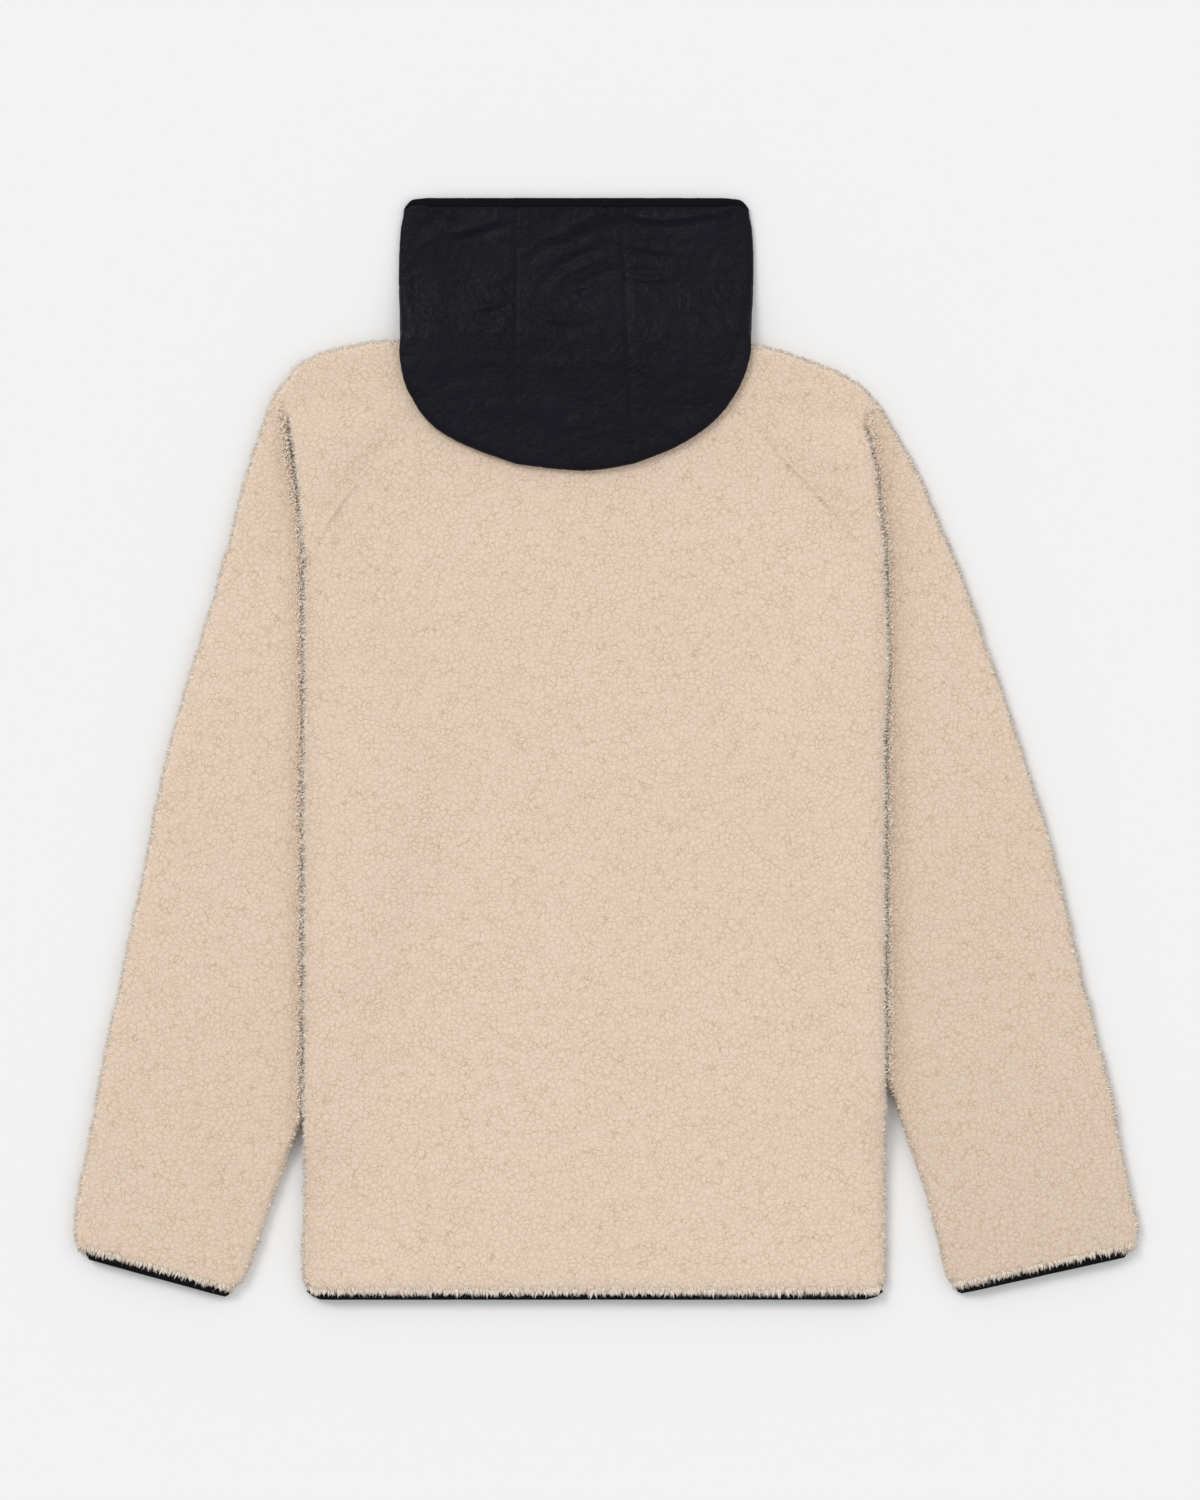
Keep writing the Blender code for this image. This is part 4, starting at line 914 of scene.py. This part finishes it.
def near_line(first, second, depth, most):
    """Density for a fringe along the straight edge from first to second, in the plan."""
    first, second = np.array(first), np.array(second)
    along = (second - first) / np.linalg.norm(second - first)
    across = np.array((-along[1], along[0]))

    def density(middle, normal):
        away = np.abs((middle[:, :2] - first) @ across)
        place = (middle[:, :2] - first) @ along
        near = (away < depth) & (place > -0.004) & (place < np.linalg.norm(second - first) + 0.004)
        return np.where(near & (middle[:, 2] > 0.0012) & (normal[:, 2] > -0.8), most, 0.0)
    return density


# ---------------------------------------------------------------- sewing and zip

def bar_faces(base, rings):
    """The faces of a closed bar: its rings have six points each, numbered from base."""
    faces, last = [], base + 6 * (rings - 1)
    for ring in range(base, last, 6):
        for k in range(6):
            a, b = ring + k, ring + (k + 1) % 6
            faces += [(a, b, b + 6), (a, b + 6, a + 6)]
    return (faces + [(base, base + k + 1, base + k) for k in range(1, 5)]
            + [(last, last + k, last + k + 1) for k in range(1, 5)])


def make_stitches(name, lines, height, material, length=0.0022, pitch=0.0034, radius=0.00022):
    """Short threads lying along each line of (x, y) points, at the height given by ray."""
    points, faces = [], []
    for line in lines:
        line = np.array(line, float)
        steps = np.concatenate([[0], np.cumsum(np.linalg.norm(np.diff(line, axis=0), axis=1))])
        for start in np.arange(0.001, steps[-1] - length, pitch):
            ends = []
            for at in (start, start + length / 2, start + length):
                x, y = np.interp(at, steps, line[:, 0]), np.interp(at, steps, line[:, 1])
                ends.append(Vector((x, y, height(x, y))))
            if any(end.z < 0 for end in ends):
                continue
            way = (ends[2] - ends[0]).normalized()
            side = way.cross(Vector((0, 0, 1))).normalized()
            base = len(points)
            for end, wide, lift in ((ends[0], 0.5, -0.2), (ends[1], 1.0, 0.7), (ends[2], 0.5, -0.2)):
                for angle in range(0, 360, 60):
                    turn = math.radians(angle)
                    points.append(end + Vector((0, 0, radius * (lift + math.sin(turn) * wide)))
                                  + side * radius * math.cos(turn) * wide * 1.2)
            faces += bar_faces(base, 3)
    return new_object(name, np.array([tuple(p) for p in points]), np.array(faces), material)


SLIDER_Y, SLIDER_REACH, TOOTH_PITCH = 0.222, 0.006, 0.0023


def zip_x(y):
    return np.interp(y, (-0.423, 0.258), (-0.0100, -0.0235))


def make_teeth(name, out, body, material):
    """The moulded teeth of one half: they mesh below the slider and part above it."""
    plan = np.array([(-0.25, -0.26), (0.5, -0.55), (2.0, -0.5), (2.0, 0.5), (0.5, 0.55), (-0.25, 0.26)])
    levels = ((3.0, 0.7), (3.3, 1.0), (4.9, 1.0), (5.2, 0.7))
    points, faces = [], []
    for y in np.arange(-0.4185 + (TOOTH_PITCH / 2 if out > 0 else 0.0), 0.2545, TOOTH_PITCH):
        if abs(y - SLIDER_Y) < SLIDER_REACH:
            continue
        gap, base = (0.15 if y < SLIDER_Y else 1.15), len(points)
        for z, size in levels:
            for x, along in plan:
                points.append((zip_x(y) + out * (gap + 0.9 + (x - 0.9) * size) * MM,
                               y + along * size * MM, z * MM))
        faces += bar_faces(base, 4)
    faces = np.array(faces)
    thing = new_object(name, np.array(points), faces if out > 0 else faces[:, ::-1], material)
    thing.data.shade_flat()
    thing.parent = body
    return thing


# ---------------------------------------------------------------- the jacket

# piece, the ends of its edge at the binding (x, y), and the way that the fringe leans
FRINGES = [
    ("back", (-0.232, -0.4165), (0.212, -0.4165), (0.0, -1.0, -0.25)),
    ("sleeve_left", (-0.4045, -0.3840), (-0.2840, -0.4170), (-0.26, -0.96, -0.25)),
    ("sleeve_right", (0.2620, -0.4140), (0.4040, -0.3825), (0.21, -0.97, -0.25)),
]
# each piece's cut as it shows: width, length, share of that rectangle, hold, what it lies on
CUTS = {
    "back": (0.490, 0.707, 0.90, "laid", ["front_left", "front_right", "sleeve_left", "sleeve_right"]),
    "front_left": (0.207, 0.706, 0.86, "laid", []),
    "front_right": (0.220, 0.703, 0.86, "laid", []),
    "sleeve_left": (0.450, 0.780, 0.64, "folded", ["front_left"]),
    "sleeve_right": (0.450, 0.780, 0.64, "folded", ["front_right"]),
    "hood_left": (0.236, 0.200, 0.86, "folded", ["back"]),
    "hood_right": (0.236, 0.200, 0.86, "folded", ["back"]),
    "hood_centre": (0.091, 0.300, 0.90, "folded", ["hood_left", "hood_right"]),
    "hood_binding": (0.010, 0.540, 0.90, "folded", ["hood_left", "hood_right"]),
    "hem_binding": (0.010, 0.900, 0.93, "folded", []),
    "cuff_binding_left": (0.010, 0.245, 0.90, "folded", []),
    "cuff_binding_right": (0.010, 0.282, 0.93, "folded", []),
    "zip_left": (0.010, 0.681, 0.80, "laid", ["front_left"]),
    "zip_right": (0.010, 0.681, 0.80, "laid", ["front_right"]),
}
OVER = (0, 0, -0.2)


def add_tufts(name, body, material):
    picks = [(at_fold(160000.0), OVER, 0.15, (0.0016, 0.0042), (0.0007, 0.0014), LUMP),
             (at_fold(1100000.0), OVER, 0.15, (0.0014, 0.0040), (0.00025, 0.00050), FUZZ)]
    if name in CREASES:
        edge, out = CREASES[name][:2]
        line = [(x + 0.0018 * out, max(y, -0.285)) for y, x in edge]
        for first, second in zip(line[:-1], line[1:]):
            picks.append((near_line(first, second, 0.0026, 480000.0), (-0.6 * out, 0, 0.6), 0.3,
                          (0.0018, 0.0040), (0.0007, 0.0013), LUMP))
    for piece, first, second, lean in FRINGES:
        if piece == name:
            picks += [
                (near_line(first, second, 0.0026, 900000.0), lean, 0.66, (0.0036, 0.0060),
                 (0.0010, 0.0018), LUMP),
                (near_line(first, second, 0.0030, 400000.0), lean, 0.62, (0.0042, 0.0070),
                 (0.0004, 0.0008), FUZZ)]
    return make_tufts(name + "_tufts", body, material, picks)


def main():
    make_stage()
    fleece, tufts, nylon, tape, tape_zip, metal, thread = (
        fleece_material(), tuft_material(), nylon_material(), binding_material(),
        zip_tape_material(), metal_material(), thread_material())
    others = make_tree(NODES)
    group = pile_nodes()
    made, going = {}, {name: [] for name in CUTS}
    change = smoothed_top(make_tree(["back"]), *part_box("back"))
    for name, up, fine, most in (
            ("back", True, 0.0030, 165000), ("sleeve_left", False, 0.0030, 88000),
            ("sleeve_right", False, 0.0030, 88000), ("front_left", False, 0.0040, 28000),
            ("front_right", False, 0.0040, 28000)):
        made[name] = make_fleece(name, up, fine, most, fleece, others, group, change)
        if not name.startswith("front"):
            going[name].append(add_tufts(name, made[name], tufts))
    for name, fine in (("hood_left", 0.0030), ("hood_right", 0.0030), ("hood_centre", 0.0024)):
        made[name] = make_plain(name, True, fine, nylon)
    made["hood_binding"] = make_plain("hood_binding", True, 0.0030, tape)
    for name in ("hem_binding", "cuff_binding_left", "cuff_binding_right"):
        made[name] = make_plain(name, False, 0.004, tape)
    for name, out in (("zip_left", -1), ("zip_right", 1)):
        made[name] = make_plain(name, False, 0.010, tape_zip)
        going[name].append(make_teeth(name + "_teeth", out, made[name], tape_zip))

    points, faces, base = [], [], 0
    for name in PANELS + ("hood_binding",):
        points.append(points_of(made[name]))
        faces.append(faces_of(made[name]) + base)
        base += len(points[-1])
    hood = BVHTree.FromPolygons(np.concatenate(points).tolist(), np.concatenate(faces).tolist())

    def height(x, y):
        hit = hood.ray_cast(Vector((x, y, 0.1)), Vector((0, 0, -1)))
        return hit[0].z if hit[0] is not None else -1.0

    rows = np.linspace(0.4120, 0.2160, 40)
    seams = {"hood_centre": [[(hood_seam("left", y) + 0.0031, y) for y in rows],
                             [(hood_seam("right", y) - 0.0031, y) for y in rows]],
             "hood_binding": [[(x, 0.4152) for x in np.linspace(-0.1500, 0.1020, 60)]]}
    for name, lines in seams.items():
        stitches = make_stitches(name + "_stitches", lines, height, thread)
        stitches.parent = made[name]
        going[name].append(stitches)
    for node in ("zip_slider", "zip_pull"):
        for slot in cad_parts[node].material_slots:
            slot.material = metal


main()
